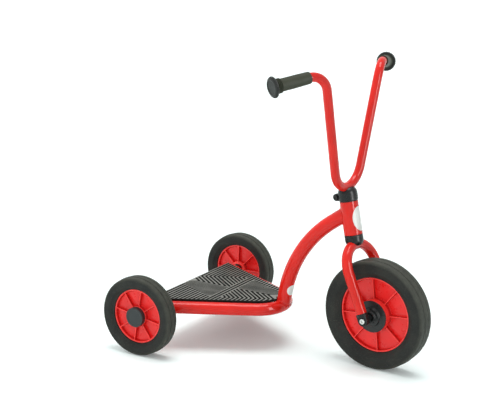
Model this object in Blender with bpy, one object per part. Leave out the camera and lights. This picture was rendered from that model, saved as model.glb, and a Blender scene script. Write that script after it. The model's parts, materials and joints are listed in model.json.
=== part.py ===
"""Three-wheel kick scooter for a small child, with two wheels at the rear and one steered wheel in front.

Lengths are in metres. The scooter stands on Z = 0 and looks along +X, with +Y to the rider's left.
The frame is drawn from the ground point under the middle of the rear axle, and the fork and handlebar
from the steering axis at the height of the front axle. At rest the handlebar is turned a bit to the right.
"""
import math

import bmesh
import bpy
from mathutils import Matrix, Vector

# Clearance left between two pieces that touch
GAP = 0.0003

# How far a cutter runs past the piece that it cuts
PAST = 0.0100

# Wheels and stance
WHEELBASE = 0.4741
TRACK = 0.4228
FRONT_RADIUS = 0.1200
REAR_RADIUS = 0.0884
FRONT_TYRE_WIDTH = 0.0460
REAR_TYRE_WIDTH = 0.0372

# Steering axis, its foot taken at the height of the front axle
STEER_FOOT_X = 0.4430
RAKE = math.radians(10.97)
REST_STEER = math.radians(-5.1)

# Distance from under the rear axle to under the middle of the whole scooter
MIDDLE_X = 0.2527

# Deck rail, one tube bent to a V that points forward
RAIL_RADIUS = 0.0140
RAIL_BORE = 0.0120
RAIL_HEIGHT = 0.0955
RAIL_APEX_X = 0.3205
RAIL_ANGLE = math.radians(27.5)
RAIL_BEND = 0.0685

# Main tube, from the nose of the rail to the head tube
MAIN_RADIUS = 0.0160
MAIN_BORE = 0.0140
MAIN_FOOT_X = 0.2425
MAIN_FOOT_HEIGHT = 0.1005
MAIN_FOOT_ANGLE = math.radians(80)
MAIN_FOOT_LENGTH = 0.0290
MAIN_BEND = 0.2743
MAIN_TOP_ANGLE = math.radians(35)
MAIN_TOP_LENGTH = 0.0420

# Head tube and what turns in it, as heights along the steering axis
HEAD_RADIUS = 0.0200
HEAD_BORE = 0.0170
HEAD_BOTTOM = 0.1695
HEAD_TOP = 0.2416
BUSH_RADIUS = 0.0167
BUSH_LENGTH = 0.0200
LOWER_FLANGE = 0.0009
UPPER_FLANGE = 0.0017
STEERER_RADIUS = 0.0130
STEERER_BORE = 0.0110
STEERER_BOTTOM = 0.1510
STEERER_TOP = 0.2576

# Fork, one tube bent to a U over the front wheel
FORK_RADIUS = 0.01125
FORK_BORE = 0.0093
FORK_HALF_WIDTH = 0.0548
FORK_APEX = 0.1465
FORK_BEND = 0.0515
FORK_LEG_END = 0.0164
FORK_END_WIDTH = 0.0230
FORK_END_THICKNESS = 0.0140
FORK_END_COLLAR = 0.0060
FORK_SPIGOT = 0.0140
AXLE_HEAD_RADIUS = 0.0065
AXLE_HEAD_HEIGHT = 0.0042
AXLE_HEAD_ROUND = 0.0010
AXLE_HEAD_SEAT = 0.0045
AXLE_SOCKET_RADIUS = 0.0029
AXLE_SOCKET_DEPTH = 0.0026
AXLE_NUT_THREAD = 0.0030

# Crown cover, the saddle-shaped moulding between the fork and the head tube
CROWN_TOP = 0.1683
CROWN_SHOULDER = 0.1568
CROWN_BOTTOM = 0.1440
CROWN_RADIUS = 0.0200
CROWN_MOUTH = 0.0090

# Handlebar, one tube bent to a U with its ends turned back; points with the wheel straight ahead
BAR_RADIUS = 0.0098
BAR_BORE = 0.0080
BAR_CORNER = (0.3849, 0.2380)
BAR_BOTTOM_BEND = 0.0525
BAR_SHOULDER = (0.4030, 0.1092, 0.6440)
BAR_SHOULDER_BEND = 0.0410
GRIP_END = (0.3509, 0.2232, 0.6249)
GRIP_LENGTH = 0.0884
GRIP_WALL = 0.0040
GRIP_START_RADIUS = 0.0122
GRIP_RADIUS = 0.0132
GRIP_RINGS = 3
GRIP_FIRST_RING = 0.0245
GRIP_RING_PITCH = 0.0056
GRIP_RING_WIDTH = 0.0048
GRIP_RING_RADIUS = 0.0155
GRIP_FLANGE_WIDTH = 0.0072
GRIP_FLANGE_RADIUS = 0.0220
GRIP_FLANGE_EDGE = 0.0014
STEM_RADIUS = 0.0106
STEM_BORE = 0.0085
STEM_BOTTOM = 0.1900
STEM_TOP = 0.2661

# Clamp collar that holds the handlebar's stem in the steerer
COLLAR_RADIUS = 0.0210
COLLAR_BOTTOM = 0.2439
COLLAR_SHOULDER = 0.2570
COLLAR_TOP = 0.2718
LUG_BOLT_X = -0.0235
LUG_BOLT_HEIGHT = 0.2520
LUG_RADIUS = 0.0078
LUG_HALF_WIDTH = 0.0110
CLAMP_SLOT = 0.0024
CLAMP_BOLT_RADIUS = 0.0028
CLAMP_HEAD_RADIUS = 0.0050
CLAMP_HEAD_HEIGHT = 0.0042
CLAMP_HEAD_ROUND = 0.0008
CLAMP_SOCKET_RADIUS = 0.0025
CLAMP_SOCKET_DEPTH = 0.0020
CLAMP_NUT_RADIUS = 0.0056
CLAMP_NUT_HEIGHT = 0.0040
SPOT_FACE_RADIUS = 0.0062

# Deck plate, between the rails, and ribbed mat, whose wider outline lies over part of them
DECK_INSET = 0.0087
MAT_INSET = 0.0050
DECK_REAR_X = -0.0060
DECK_NOSE_STEPS = 8
PLATE_BOTTOM = 0.1069
PLATE_TOP = 0.1099
MAT_BOTTOM = 0.1102
MAT_GROOVE_FLOOR = 0.1127
MAT_TOP = 0.1140
STRAP_THICKNESS = 0.0040
STRAP_WIDTH = 0.0250
STRAP_REAR_X = 0.0400
STRAP_FRONT_X = 0.1500
SCREW_SIDE_REAR = 0.0900
SCREW_SIDE_FRONT = 0.0450
SCREW_RADIUS = 0.0022
SCREW_HEAD_RADIUS = 0.0046
SCREW_HEAD_HEIGHT = 0.0028
FOOT_CLEARANCE = 0.0015

# Mat pattern: one pitch everywhere, with each groove mitred where it turns
GROOVE_PITCH = 0.0088
GROOVE_WIDTH = 0.0044
GROOVE_ANGLE = math.radians(38)
FIRST_REAR_GROOVE_X = 0.0003
LAST_REAR_GROOVE_X = 0.0971
MITRE_REAR_Y = 0.0360
REAR_BORDER_X = -0.0019
REAR_CHEVRONS = 2
BAND_GROOVES_X = (0.1059, 0.1147)
FIRST_FRONT_GROOVE_X = 0.1235
LAST_FRONT_GROOVE_X = 0.2291
MITRE_FRONT_Y = 0.0733
GROOVE_REACH = 0.1900

# Rear axle
AXLE_TUBE_RADIUS = 0.0110
AXLE_TUBE_BORE = 0.0090
AXLE_TUBE_END = 0.1850
AXLE_BUSH_LENGTH = 0.0200
REAR_AXLE_RADIUS = 0.0050
REAR_AXLE_PAST_HUB = 0.0189
SPACER_RADIUS = 0.0090

# Rear hub, with distances along the axle outward from the middle of the tyre
REAR_BOSS_OUT = 0.0127
REAR_BOSS_IN = -0.0130
REAR_BEARING_RADIUS = 0.0130
REAR_BEARING_WIDTH = 0.0080
REAR_CAP_RADIUS = 0.0220
REAR_CAP_FACE = 0.0210
REAR_CAP_SKIRT = 0.0098
REAR_CAP_WALL = 0.0018
REAR_CAP_ROUND = 0.0012
REAR_BOSS_RADIUS = 0.0188
REAR_SLEEVE_RADIUS = 0.0075
REAR_SLEEVE_BORE = 0.0085
WASHER_RADIUS = 0.0100
WASHER_THICKNESS = 0.0014
REAR_NUT_RADIUS = 0.0095
REAR_NUT_HEIGHT = 0.0038

# Tyres: lip at the rim, side wall, shoulder and crown of the tread
TYRE_LIP_INSET = 0.0005
TYRE_LIP_RISE = 0.0014
TYRE_LIP_OUT = 0.0030
TYRE_WALL_START = 0.40
TYRE_SHOULDER = 0.0050
TYRE_CROWN = 0.0012
TYRE_TREAD_SHARE = 0.76

# Front hub
FRONT_AXLE_RADIUS = 0.0040
FRONT_BOSS_OUT = 0.0217
FRONT_BEARING_RADIUS = 0.0110
FRONT_BEARING_WIDTH = 0.0070
FRONT_CAP_RADIUS = 0.0350
FRONT_CAP_FACE = 0.0250
FRONT_COLLAR_RADIUS = 0.0215
FRONT_COLLAR_FACE = 0.0295
FRONT_NOSE_RADIUS = 0.0135
FRONT_NOSE_FACE = 0.0335
FRONT_SPACER_RADIUS = 0.0088
FRONT_SLEEVE_RADIUS = 0.0060
FRONT_SLEEVE_BORE = 0.0068
FRONT_BOSS_RADIUS = 0.0340

# Rims: each has eight radial ribs on a thin web
RIM_SHARE = 0.685
RIB_COUNT = 8
RIB_THICKNESS = 0.0026
RIM_LIP = 0.0028
RIM_DRAFT = 0.0022
RIM_WEB = 0.0018
REAR_RIM_HALF = 0.0095
FRONT_RIM_HALF = 0.0110
RIB_BELOW_LIP = 0.0010
RIB_PHASE = {"rear_right": math.radians(35.7), "rear_left": math.radians(0.2), "front": math.radians(5.8)}

# Facets round a turn
WHEEL_SIDES = 28
HUB_SIDES = 16
TUBE_SIDES = 12
SMALL_SIDES = 10
HEX_SIDES = 6
LUG_STEPS = 6
DOME_STEPS = 3
SHARP_ANGLE = math.radians(35)

# Finishes: colour, roughness, metallic
RED_PAINT = ((0.66, 0.02, 0.02), 0.22, 0.0)
RED_PLASTIC = ((0.72, 0.03, 0.02), 0.40, 0.0)
TYRE_RUBBER = ((0.045, 0.05, 0.045), 0.75, 0.0)
GRIP_RUBBER = ((0.04, 0.045, 0.035), 0.60, 0.0)
MAT_RUBBER = ((0.06, 0.065, 0.06), 0.65, 0.0)
BLACK_PLASTIC = ((0.02, 0.022, 0.022), 0.35, 0.0)
BLACK_PAINT = ((0.03, 0.03, 0.03), 0.45, 0.0)
ZINC_STEEL = ((0.62, 0.62, 0.60), 0.35, 1.0)

# The steering frame with the wheel straight ahead: local Z runs up the axis, local X forward
STRAIGHT = Matrix.Translation((STEER_FOOT_X, 0, FRONT_RADIUS)) @ Matrix.Rotation(-RAKE, 4, "Y")
AXLE_IN_STEERING = STRAIGHT.inverted() @ Vector((WHEELBASE, 0, FRONT_RADIUS))


def clear_scene():
    """Remove every object of the open scene."""
    for old in list(bpy.data.objects):
        bpy.data.objects.remove(old, do_unlink=True)


def finish_material(name, finish):
    """One plain material with the piece's colour, roughness and metallic value."""
    colour, roughness, metallic = finish
    material = bpy.data.materials.new(name)
    material.use_nodes = True
    shader = material.node_tree.nodes["Principled BSDF"]
    shader.inputs["Base Color"].default_value = (*colour, 1.0)
    shader.inputs["Roughness"].default_value = roughness
    shader.inputs["Metallic"].default_value = metallic
    material.diffuse_color = (*colour, 1.0)
    return material


def add_empty(name, parent=None, place=None):
    """An empty that carries pieces, such as the steering axis or a wheel's axle."""
    empty = bpy.data.objects.new(name, None)
    bpy.context.scene.collection.objects.link(empty)
    empty.parent = parent
    empty.matrix_local = place or Matrix()
    return empty


def add_piece(name, solid, finish, parent, place=None):
    """Put a bmesh solid in the scene as a named piece with its own material."""
    bmesh.ops.recalc_face_normals(solid, faces=solid.faces)
    mesh = bpy.data.meshes.new(name)
    solid.to_mesh(mesh)
    solid.free()
    mesh.shade_smooth()
    mesh.set_sharp_from_angle(angle=SHARP_ANGLE)
    mesh.materials.append(finish_material(name, finish))
    piece = bpy.data.objects.new(name, mesh)
    bpy.context.scene.collection.objects.link(piece)
    piece.parent = parent
    piece.matrix_local = place or Matrix()
    return piece


def add_tool(name, solid, parent, place=None):
    """A hidden solid that only shapes another piece."""
    tool = add_piece(name, solid, BLACK_PAINT, parent, place)
    tool.hide_render = True
    tool.display_type = "WIRE"
    return tool


def shape_with(piece, tool, operation):
    """Cut the piece with the tool, or join the tool to it."""
    modifier = piece.modifiers.new(tool.name, "BOOLEAN")
    modifier.operation = operation
    modifier.solver = "EXACT"
    modifier.object = tool


def cut(piece, tool):
    """Take the tool's volume out of the piece."""
    shape_with(piece, tool, "DIFFERENCE")


def join(piece, tool):
    """Add the tool's volume to the piece."""
    shape_with(piece, tool, "UNION")


def turned(profile, sides, across_flats=False):
    """Solid turned about Z from a closed profile of (radius, height) points; radius 0 lies on the axis.

    A flat side faces -X and -Y, so that a wheel stands on a flat and not on a corner of its polygon.
    """
    grow = 1 / math.cos(math.pi / sides) if across_flats else 1
    solid = bmesh.new()
    rings = []
    for radius, height in profile:
        if radius == 0:
            rings.append([solid.verts.new((0, 0, height))])
            continue
        ring = []
        for side in range(sides):
            angle = 2 * math.pi * (side + 0.5) / sides
            spot = (radius * grow * math.cos(angle), radius * grow * math.sin(angle), height)
            ring.append(solid.verts.new(spot))
        rings.append(ring)
    for lower, upper in zip(rings, rings[1:] + rings[:1]):
        for side in range(sides):
            after = (side + 1) % sides
            corners = [lower[side % len(lower)], lower[after % len(lower)]]
            corners += [upper[after % len(upper)], upper[side % len(upper)]]
            corners = list(dict.fromkeys(corners))
            if len(corners) > 2:
                solid.faces.new(corners)
    return solid


def pipe_profile(outer, inner, bottom, top):
    """Closed profile of a plain round sleeve."""
    return [(inner, bottom), (outer, bottom), (outer, top), (inner, top)]


def rod_profile(radius, bottom, top):
    """Closed profile of a plain round bar."""
    return [(0, bottom), (radius, bottom), (radius, top), (0, top)]


def dome(inner, outer):
    """Quarter of an oval between two (radius, height) points, flat at the inner one."""
    points = []
    for index in range(DOME_STEPS + 1):
        angle = math.pi / 2 * (1 - index / DOME_STEPS)
        radius = inner[0] + (outer[0] - inner[0]) * math.cos(angle)
        points.append((radius, outer[1] + (inner[1] - outer[1]) * math.sin(angle)))
    return points


def bent_path(corners, bends, step):
    """Points and directions along a line through the corners, rounded to the given bend radii."""
    corners = [Vector(corner) for corner in corners]
    stations = [(corners[0], (corners[1] - corners[0]).normalized())]
    for before, corner, after, bend in zip(corners, corners[1:], corners[2:], bends):
        incoming = (corner - before).normalized()
        outgoing = (after - corner).normalized()
        turn = incoming.angle(outgoing)
        start = corner - incoming * bend * math.tan(turn / 2)
        inward = (outgoing - incoming * incoming.dot(outgoing)).normalized()
        centre = start + inward * bend
        count = max(2, round(turn / step))
        for index in range(count + 1):
            angle = turn * index / count
            spot = centre + bend * (incoming * math.sin(angle) - inward * math.cos(angle))
            direction = incoming * math.cos(angle) + inward * math.sin(angle)
            stations.append((spot, direction))
    stations.append((corners[-1], (corners[-1] - corners[-2]).normalized()))
    return stations


def swept(stations, radius, sides, bore=0):
    """Round bar or pipe along a path, with square ends."""
    solid = bmesh.new()
    direction = stations[0][1]
    across = direction.orthogonal().normalized()
    skins = [[] for _ in ((radius, bore) if bore else (radius,))]
    for spot, heading in stations:
        across.rotate(direction.rotation_difference(heading))
        direction = heading
        beside = direction.cross(across)
        for skin, reach in zip(skins, (radius, bore)):
            ring = []
            for side in range(sides):
                angle = 2 * math.pi * (side + 0.5) / sides
                offset = across * math.cos(angle) + beside * math.sin(angle)
                ring.append(solid.verts.new(spot + offset * reach))
            skin.append(ring)
    for skin in skins:
        for ring, following in zip(skin, skin[1:]):
            bridge(solid, ring, following)
    for end in (0, -1):
        if bore:
            bridge(solid, skins[0][end], skins[1][end])
        else:
            solid.faces.new(skins[0][end])
    return solid


def bridge(solid, ring, following):
    """Quads between two rings of the same number of corners."""
    for side, corner in enumerate(ring):
        after = (side + 1) % len(ring)
        solid.faces.new((corner, ring[after], following[after], following[side]))


def prism(outline, bottom, top, solid=None):
    """Upright solid over a flat outline of (x, y) points."""
    solid = solid or bmesh.new()
    floor = [solid.verts.new((x, y, bottom)) for x, y in outline]
    roof = [solid.verts.new((x, y, top)) for x, y in outline]
    bridge(solid, floor, roof)
    solid.faces.new(floor)
    solid.faces.new(roof)
    return solid


def stadium(length, half_width, sides):
    """Outline with a round end about the origin and a square end at +length along x."""
    points = [(length, -half_width), (length, half_width)]
    for index in range(sides + 1):
        angle = math.pi / 2 + math.pi * index / sides
        points.append((half_width * math.cos(angle), half_width * math.sin(angle)))
    return points


def along(start, end):
    """Matrix whose Z axis runs from start towards end."""
    heading = Vector(end) - Vector(start)
    return Matrix.Translation(start) @ heading.to_track_quat("Z", "Y").to_matrix().to_4x4()


def mirror_y(point, side):
    """The point on the given side, +1 for left and -1 for right."""
    return (point[0], point[1] * side, point[2])


def rail_stations():
    """Centre line of the V-shaped deck rail."""
    half_width = RAIL_APEX_X * math.tan(RAIL_ANGLE)
    corners = [(0, side * half_width, RAIL_HEIGHT) for side in (1, -1)]
    corners.insert(1, (RAIL_APEX_X, 0, RAIL_HEIGHT))
    return bent_path(corners, [RAIL_BEND], math.radians(15))


def main_tube_stations():
    """Centre line of the main tube: a short foot, one long bend and a straight top."""
    foot = Vector((MAIN_FOOT_X, 0, MAIN_FOOT_HEIGHT))
    foot_direction = Vector((math.cos(MAIN_FOOT_ANGLE), 0, math.sin(MAIN_FOOT_ANGLE)))
    top_direction = Vector((math.cos(MAIN_TOP_ANGLE), 0, math.sin(MAIN_TOP_ANGLE)))
    tangent = MAIN_BEND * math.tan((MAIN_FOOT_ANGLE - MAIN_TOP_ANGLE) / 2)
    corner = foot + foot_direction * (MAIN_FOOT_LENGTH + tangent)
    end = corner + top_direction * (tangent + MAIN_TOP_LENGTH)
    return bent_path([foot, corner, end], [MAIN_BEND], math.radians(9))


def fork_stations():
    """Centre line of the fork in steering coordinates: two legs that aim at the axle, and a low arch."""
    apex = Vector((0, 0, FORK_APEX))
    down = (AXLE_IN_STEERING - apex).normalized()
    length = (AXLE_IN_STEERING - apex).length - FORK_LEG_END
    sideways = Vector((0, FORK_HALF_WIDTH, 0))
    corners = [apex + down * length + sideways, apex + sideways]
    corners += [apex - sideways, apex + down * length - sideways]
    return bent_path(corners, [FORK_BEND] * 2, math.radians(22.5))


def bar_stations():
    """Centre line of the handlebar in steering coordinates."""
    to_steering = STRAIGHT.inverted()
    inward = (Vector(BAR_SHOULDER) - Vector(GRIP_END)).normalized()
    end = Vector(GRIP_END) + inward * GRIP_WALL
    corners = [mirror_y(end, 1), mirror_y(BAR_SHOULDER, 1), (BAR_CORNER[0], 0, BAR_CORNER[1])]
    corners += [mirror_y(BAR_SHOULDER, -1), mirror_y(end, -1)]
    corners = [to_steering @ Vector(corner) for corner in corners]
    bends = [BAR_SHOULDER_BEND, BAR_BOTTOM_BEND, BAR_SHOULDER_BEND]
    return bent_path(corners, bends, math.radians(22.5))


def deck_outline(inset=DECK_INSET):
    """Outline of the deck: two straight sides inside the rail and a round nose."""
    centre_x = RAIL_APEX_X - RAIL_BEND / math.sin(RAIL_ANGLE)
    nose = RAIL_BEND - inset
    apex_x = centre_x + nose / math.sin(RAIL_ANGLE)
    rear_y = (apex_x - DECK_REAR_X) * math.tan(RAIL_ANGLE)
    points = [(DECK_REAR_X, rear_y), (DECK_REAR_X, -rear_y)]
    sweep = math.pi / 2 - RAIL_ANGLE
    for index in range(DECK_NOSE_STEPS + 1):
        angle = sweep * (2 * index / DECK_NOSE_STEPS - 1)
        points.append((centre_x + nose * math.cos(angle), nose * math.sin(angle)))
    return points


def make_frame(datum):
    """The welded frame: deck rail, main tube, head tube, axle tube and deck straps."""
    rail = swept(rail_stations(), RAIL_RADIUS, TUBE_SIDES, RAIL_BORE)
    rail = add_piece("deck_rail", rail, RED_PAINT, datum)
    rail_space = add_tool("rail_space", swept(rail_stations(), RAIL_RADIUS + GAP, TUBE_SIDES), datum)

    across = Matrix.Translation((0, 0, REAR_RADIUS)) @ Matrix.Rotation(math.radians(-90), 4, "X")
    tube = pipe_profile(AXLE_TUBE_RADIUS, AXLE_TUBE_BORE, -AXLE_TUBE_END, AXLE_TUBE_END)
    add_piece("rear_axle_tube", turned(tube, TUBE_SIDES), RED_PAINT, datum, across)
    seat = rod_profile(AXLE_TUBE_RADIUS + GAP, -AXLE_TUBE_END - PAST, AXLE_TUBE_END + PAST)
    cut(rail, add_tool("axle_tube_space", turned(seat, TUBE_SIDES), datum, across))

    main = swept(main_tube_stations(), MAIN_RADIUS, TUBE_SIDES, MAIN_BORE)
    main = add_piece("main_tube", main, RED_PAINT, datum)
    head = pipe_profile(HEAD_RADIUS, HEAD_BORE, HEAD_BOTTOM, HEAD_TOP)
    add_piece("head_tube", turned(head, HUB_SIDES), RED_PAINT, datum, STRAIGHT)
    head_space = turned(rod_profile(HEAD_RADIUS + GAP, HEAD_BOTTOM - PAST, HEAD_TOP + PAST), HUB_SIDES)
    cut(main, rail_space)
    cut(main, add_tool("head_tube_space", head_space, datum, STRAIGHT))

    for name, rear_x in (("deck_strap_rear", STRAP_REAR_X), ("deck_strap_front", STRAP_FRONT_X)):
        reach = (RAIL_APEX_X - rear_x - STRAP_WIDTH) * math.tan(RAIL_ANGLE)
        outline = [(rear_x, -reach), (rear_x + STRAP_WIDTH, -reach)]
        outline += [(rear_x + STRAP_WIDTH, reach), (rear_x, reach)]
        top = PLATE_BOTTOM - GAP
        strap = add_piece(name, prism(outline, top - STRAP_THICKNESS, top), RED_PAINT, datum)
        cut(strap, rail_space)


def mitred_strip(points, width, end_x=None):
    """Outline of a groove along the points; its last end is cut along x = end_x where that is given."""
    points = [Vector(point) for point in points]
    headings = [(after - before).normalized() for before, after in zip(points, points[1:])]
    normals = [Vector((-heading.y, heading.x)) for heading in headings]
    offsets = [normals[0]]
    for before, after in zip(normals, normals[1:]):
        offsets.append((before + after) / (1 + before.dot(after)))
    offsets.append(normals[-1])
    sides = []
    for sign in (1, -1):
        side = [point + offset * sign * width / 2 for point, offset in zip(points, offsets)]
        if end_x is not None:
            side[-1] = side[-1] + headings[-1] * (end_x - side[-1].x) / headings[-1].x
        sides.append(side)
    return sides[0] + sides[1][::-1]


def groove_line(x, mitre_y, forward):
    """Half of one groove for y > 0: in along the mat's width to the mitre, then slanting to the middle."""
    apex_x = x + forward * mitre_y / math.tan(GROOVE_ANGLE)
    return [(x, GROOVE_REACH), (x, mitre_y), (apex_x, 0)]


def panel_grooves(first_x, last_x, mitre_y, forward, band_x):
    """Outlines of one panel's grooves: a chevron in the middle between ribs that run straight across."""
    outlines = []
    mitre_slope = math.tan((math.pi / 2 - GROOVE_ANGLE) / 2)
    count = round((last_x - first_x) / GROOVE_PITCH)
    for index in range(count + 1):
        x = first_x + index * GROOVE_PITCH
        from_start = x - first_x if forward < 0 else x
        line = groove_line(x, mitre_y + forward * mitre_slope * from_start, forward)
        clear_of_band = (band_x - line[2][0]) * forward > GROOVE_WIDTH
        beside_band = abs(x - band_x) < GROOVE_WIDTH
        if clear_of_band:
            back = [(point[0], -point[1]) for point in line[1::-1]]
            outlines.append(mitred_strip(line + back, GROOVE_WIDTH))
            continue
        for side in (1, -1):
            half = [(point[0], point[1] * side) for point in line]
            if beside_band:
                outlines.append(mitred_strip(half[:2], GROOVE_WIDTH))
            else:
                outlines.append(mitred_strip(half, GROOVE_WIDTH, band_x))
    return outlines


def rear_chevrons():
    """Outlines of the grooves that come out of the rear border aslant and meet in the middle."""
    outlines = []
    mitre_slope = math.tan((math.pi / 2 - GROOVE_ANGLE) / 2)
    for index in range(1, REAR_CHEVRONS + 1):
        x = FIRST_REAR_GROOVE_X - index * GROOVE_PITCH
        mitre_y = MITRE_REAR_Y + mitre_slope * x
        apex_x = x + mitre_y / math.tan(GROOVE_ANGLE)
        start_y = (apex_x - REAR_BORDER_X) * math.tan(GROOVE_ANGLE)
        chevron = [(REAR_BORDER_X, start_y), (apex_x, 0), (REAR_BORDER_X, -start_y)]
        outlines.append(mitred_strip(chevron, GROOVE_WIDTH))
    return outlines


def mat_grooves():
    """All the grooves of the mat, as upright cutters that stand on the groove floor."""
    rear_band = LAST_REAR_GROOVE_X + GROOVE_WIDTH / 2
    front_band = FIRST_FRONT_GROOVE_X - GROOVE_WIDTH / 2
    outlines = panel_grooves(FIRST_REAR_GROOVE_X, LAST_REAR_GROOVE_X, MITRE_REAR_Y, 1, rear_band)
    outlines += panel_grooves(FIRST_FRONT_GROOVE_X, LAST_FRONT_GROOVE_X, MITRE_FRONT_Y, -1, front_band)
    outlines += rear_chevrons()
    for x in BAND_GROOVES_X:
        outlines.append(mitred_strip([(x, GROOVE_REACH), (x, -GROOVE_REACH)], GROOVE_WIDTH))
    cutters = bmesh.new()
    for outline in outlines:
        prism([(point.x, point.y) for point in outline], MAT_GROOVE_FLOOR, MAT_TOP + PAST, cutters)
    return cutters


def make_deck(datum):
    """The deck plate, the ribbed mat on it and the screws that hold the plate to its straps."""
    plate = add_piece("deck_plate", prism(deck_outline(), PLATE_BOTTOM, PLATE_TOP), BLACK_PAINT, datum)
    mat = add_piece("deck_mat", prism(deck_outline(MAT_INSET), MAT_BOTTOM, MAT_TOP), MAT_RUBBER, datum)
    lean = (MAT_BOTTOM - MAIN_FOOT_HEIGHT) / math.tan(MAIN_FOOT_ANGLE)
    foot_space = rod_profile(MAIN_RADIUS + FOOT_CLEARANCE, PLATE_BOTTOM - PAST, MAT_TOP + PAST)
    foot_space = turned(foot_space, HUB_SIDES)
    foot_space = add_tool("foot_space", foot_space, datum, Matrix.Translation((MAIN_FOOT_X + lean, 0, 0)))
    cut(plate, foot_space)
    cut(mat, foot_space)
    cut(mat, add_tool("mat_groove_tools", mat_grooves(), datum))

    head_top = PLATE_BOTTOM - 2 * GAP - STRAP_THICKNESS
    head_low = head_top - SCREW_HEAD_HEIGHT
    head_edge = head_top - SCREW_HEAD_HEIGHT / 2
    spots = []
    for x, y in ((STRAP_REAR_X, SCREW_SIDE_REAR), (STRAP_FRONT_X, SCREW_SIDE_FRONT)):
        spots += [(x + STRAP_WIDTH / 2, y * side) for side in (1, -1)]
    for number, (x, y) in enumerate(spots, 1):
        place = Matrix.Translation((x, y, 0))
        profile = [(0, head_low), (SCREW_HEAD_RADIUS * 0.6, head_low), (SCREW_HEAD_RADIUS, head_edge)]
        profile += [(SCREW_HEAD_RADIUS, head_top), (SCREW_RADIUS, head_top)]
        profile += [(SCREW_RADIUS, PLATE_TOP), (0, PLATE_TOP)]
        add_piece("deck_screw_%d" % number, turned(profile, HEX_SIDES), ZINC_STEEL, datum, place)
        hole = turned(rod_profile(SCREW_RADIUS + GAP, head_top - PAST, PLATE_TOP + PAST), HEX_SIDES)
        hole = add_tool("screw_space_%d" % number, hole, datum, place)
        strap = "deck_strap_rear" if x < STRAP_FRONT_X else "deck_strap_front"
        cut(bpy.data.objects[strap], hole)
        cut(plate, hole)


def make_headset(datum):
    """The two plastic bushes that the steerer turns in."""
    inner = STEERER_RADIUS + GAP
    flange = CROWN_RADIUS - GAP
    bottom = HEAD_BOTTOM - LOWER_FLANGE
    seat = HEAD_BOTTOM - GAP
    lower = [(inner, bottom), (flange, bottom), (flange, seat), (BUSH_RADIUS, seat)]
    lower += [(BUSH_RADIUS, bottom + BUSH_LENGTH), (inner, bottom + BUSH_LENGTH)]
    add_piece("head_bush_lower", turned(lower, HUB_SIDES), BLACK_PLASTIC, datum, STRAIGHT)
    top = HEAD_TOP + UPPER_FLANGE + GAP
    upper = [(inner, top - BUSH_LENGTH), (BUSH_RADIUS, top - BUSH_LENGTH), (BUSH_RADIUS, HEAD_TOP + GAP)]
    upper += [(flange, HEAD_TOP + GAP), (flange, top), (inner, top)]
    add_piece("head_bush_upper", turned(upper, HUB_SIDES), BLACK_PLASTIC, datum, STRAIGHT)


def make_fork(steering):
    """Fork tube, steerer and crown cover."""
    add_piece("fork", swept(fork_stations(), FORK_RADIUS, SMALL_SIDES, FORK_BORE), RED_PAINT, steering)
    fork_space = add_tool("fork_space", swept(fork_stations(), FORK_RADIUS + GAP, SMALL_SIDES), steering)
    steerer = turned(pipe_profile(STEERER_RADIUS, STEERER_BORE, STEERER_BOTTOM, STEERER_TOP), TUBE_SIDES)
    steerer = add_piece("steerer", steerer, ZINC_STEEL, steering)
    cut(steerer, fork_space)
    inner = STEERER_RADIUS + GAP
    step = STEERER_BOTTOM - GAP
    profile = [(0, CROWN_BOTTOM)] + dome((CROWN_MOUTH, CROWN_BOTTOM), (CROWN_RADIUS, CROWN_SHOULDER))
    profile += [(CROWN_RADIUS, CROWN_TOP), (inner, CROWN_TOP), (inner, step), (0, step)]
    crown = add_piece("crown_cover", turned(profile, HUB_SIDES), BLACK_PLASTIC, steering)
    cut(crown, fork_space)


def make_fork_end(name, steering, side):
    """Moulded end of one fork leg: a spigot in the leg, a round collar and a flat eye for the axle."""
    apex = Vector((0, 0, FORK_APEX))
    eye = AXLE_IN_STEERING + Vector((0, side * FORK_HALF_WIDTH, 0))
    up = (apex - AXLE_IN_STEERING).normalized()
    leg = along(eye, eye + up)
    collar = FORK_LEG_END - GAP
    spigot = FORK_BORE * math.cos(math.pi / SMALL_SIDES) - GAP
    profile = [(0, collar - FORK_END_COLLAR), (FORK_RADIUS, collar - FORK_END_COLLAR)]
    profile += [(FORK_RADIUS, collar), (spigot, collar)]
    profile += [(spigot, collar + FORK_SPIGOT), (0, collar + FORK_SPIGOT)]
    end = add_piece(name, turned(profile, SMALL_SIDES), BLACK_PLASTIC, steering, leg)

    flat = stadium(collar - FORK_END_COLLAR / 3, FORK_END_WIDTH / 2, LUG_STEPS)
    flat = prism(flat, -FORK_END_THICKNESS / 2, FORK_END_THICKNESS / 2)
    forward = Vector((0, 1, 0)).cross(up)
    axes = Matrix((up, forward, up.cross(forward))).transposed().to_4x4()
    eye_place = Matrix.Translation(eye) @ axes
    join(end, add_tool(name + "_eye", flat, steering, eye_place))
    across = Matrix.Translation(eye) @ Matrix.Rotation(math.radians(-90 * side), 4, "X")
    bore = FRONT_AXLE_RADIUS + GAP
    counterbore = AXLE_HEAD_RADIUS + 2 * GAP
    far = FORK_END_THICKNESS / 2 + PAST
    hole = [(0, -far), (bore, -far), (bore, AXLE_HEAD_SEAT)]
    hole += [(counterbore, AXLE_HEAD_SEAT), (counterbore, far), (0, far)]
    cut(end, add_tool(name + "_hole", turned(hole, SMALL_SIDES), steering, across))


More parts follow.
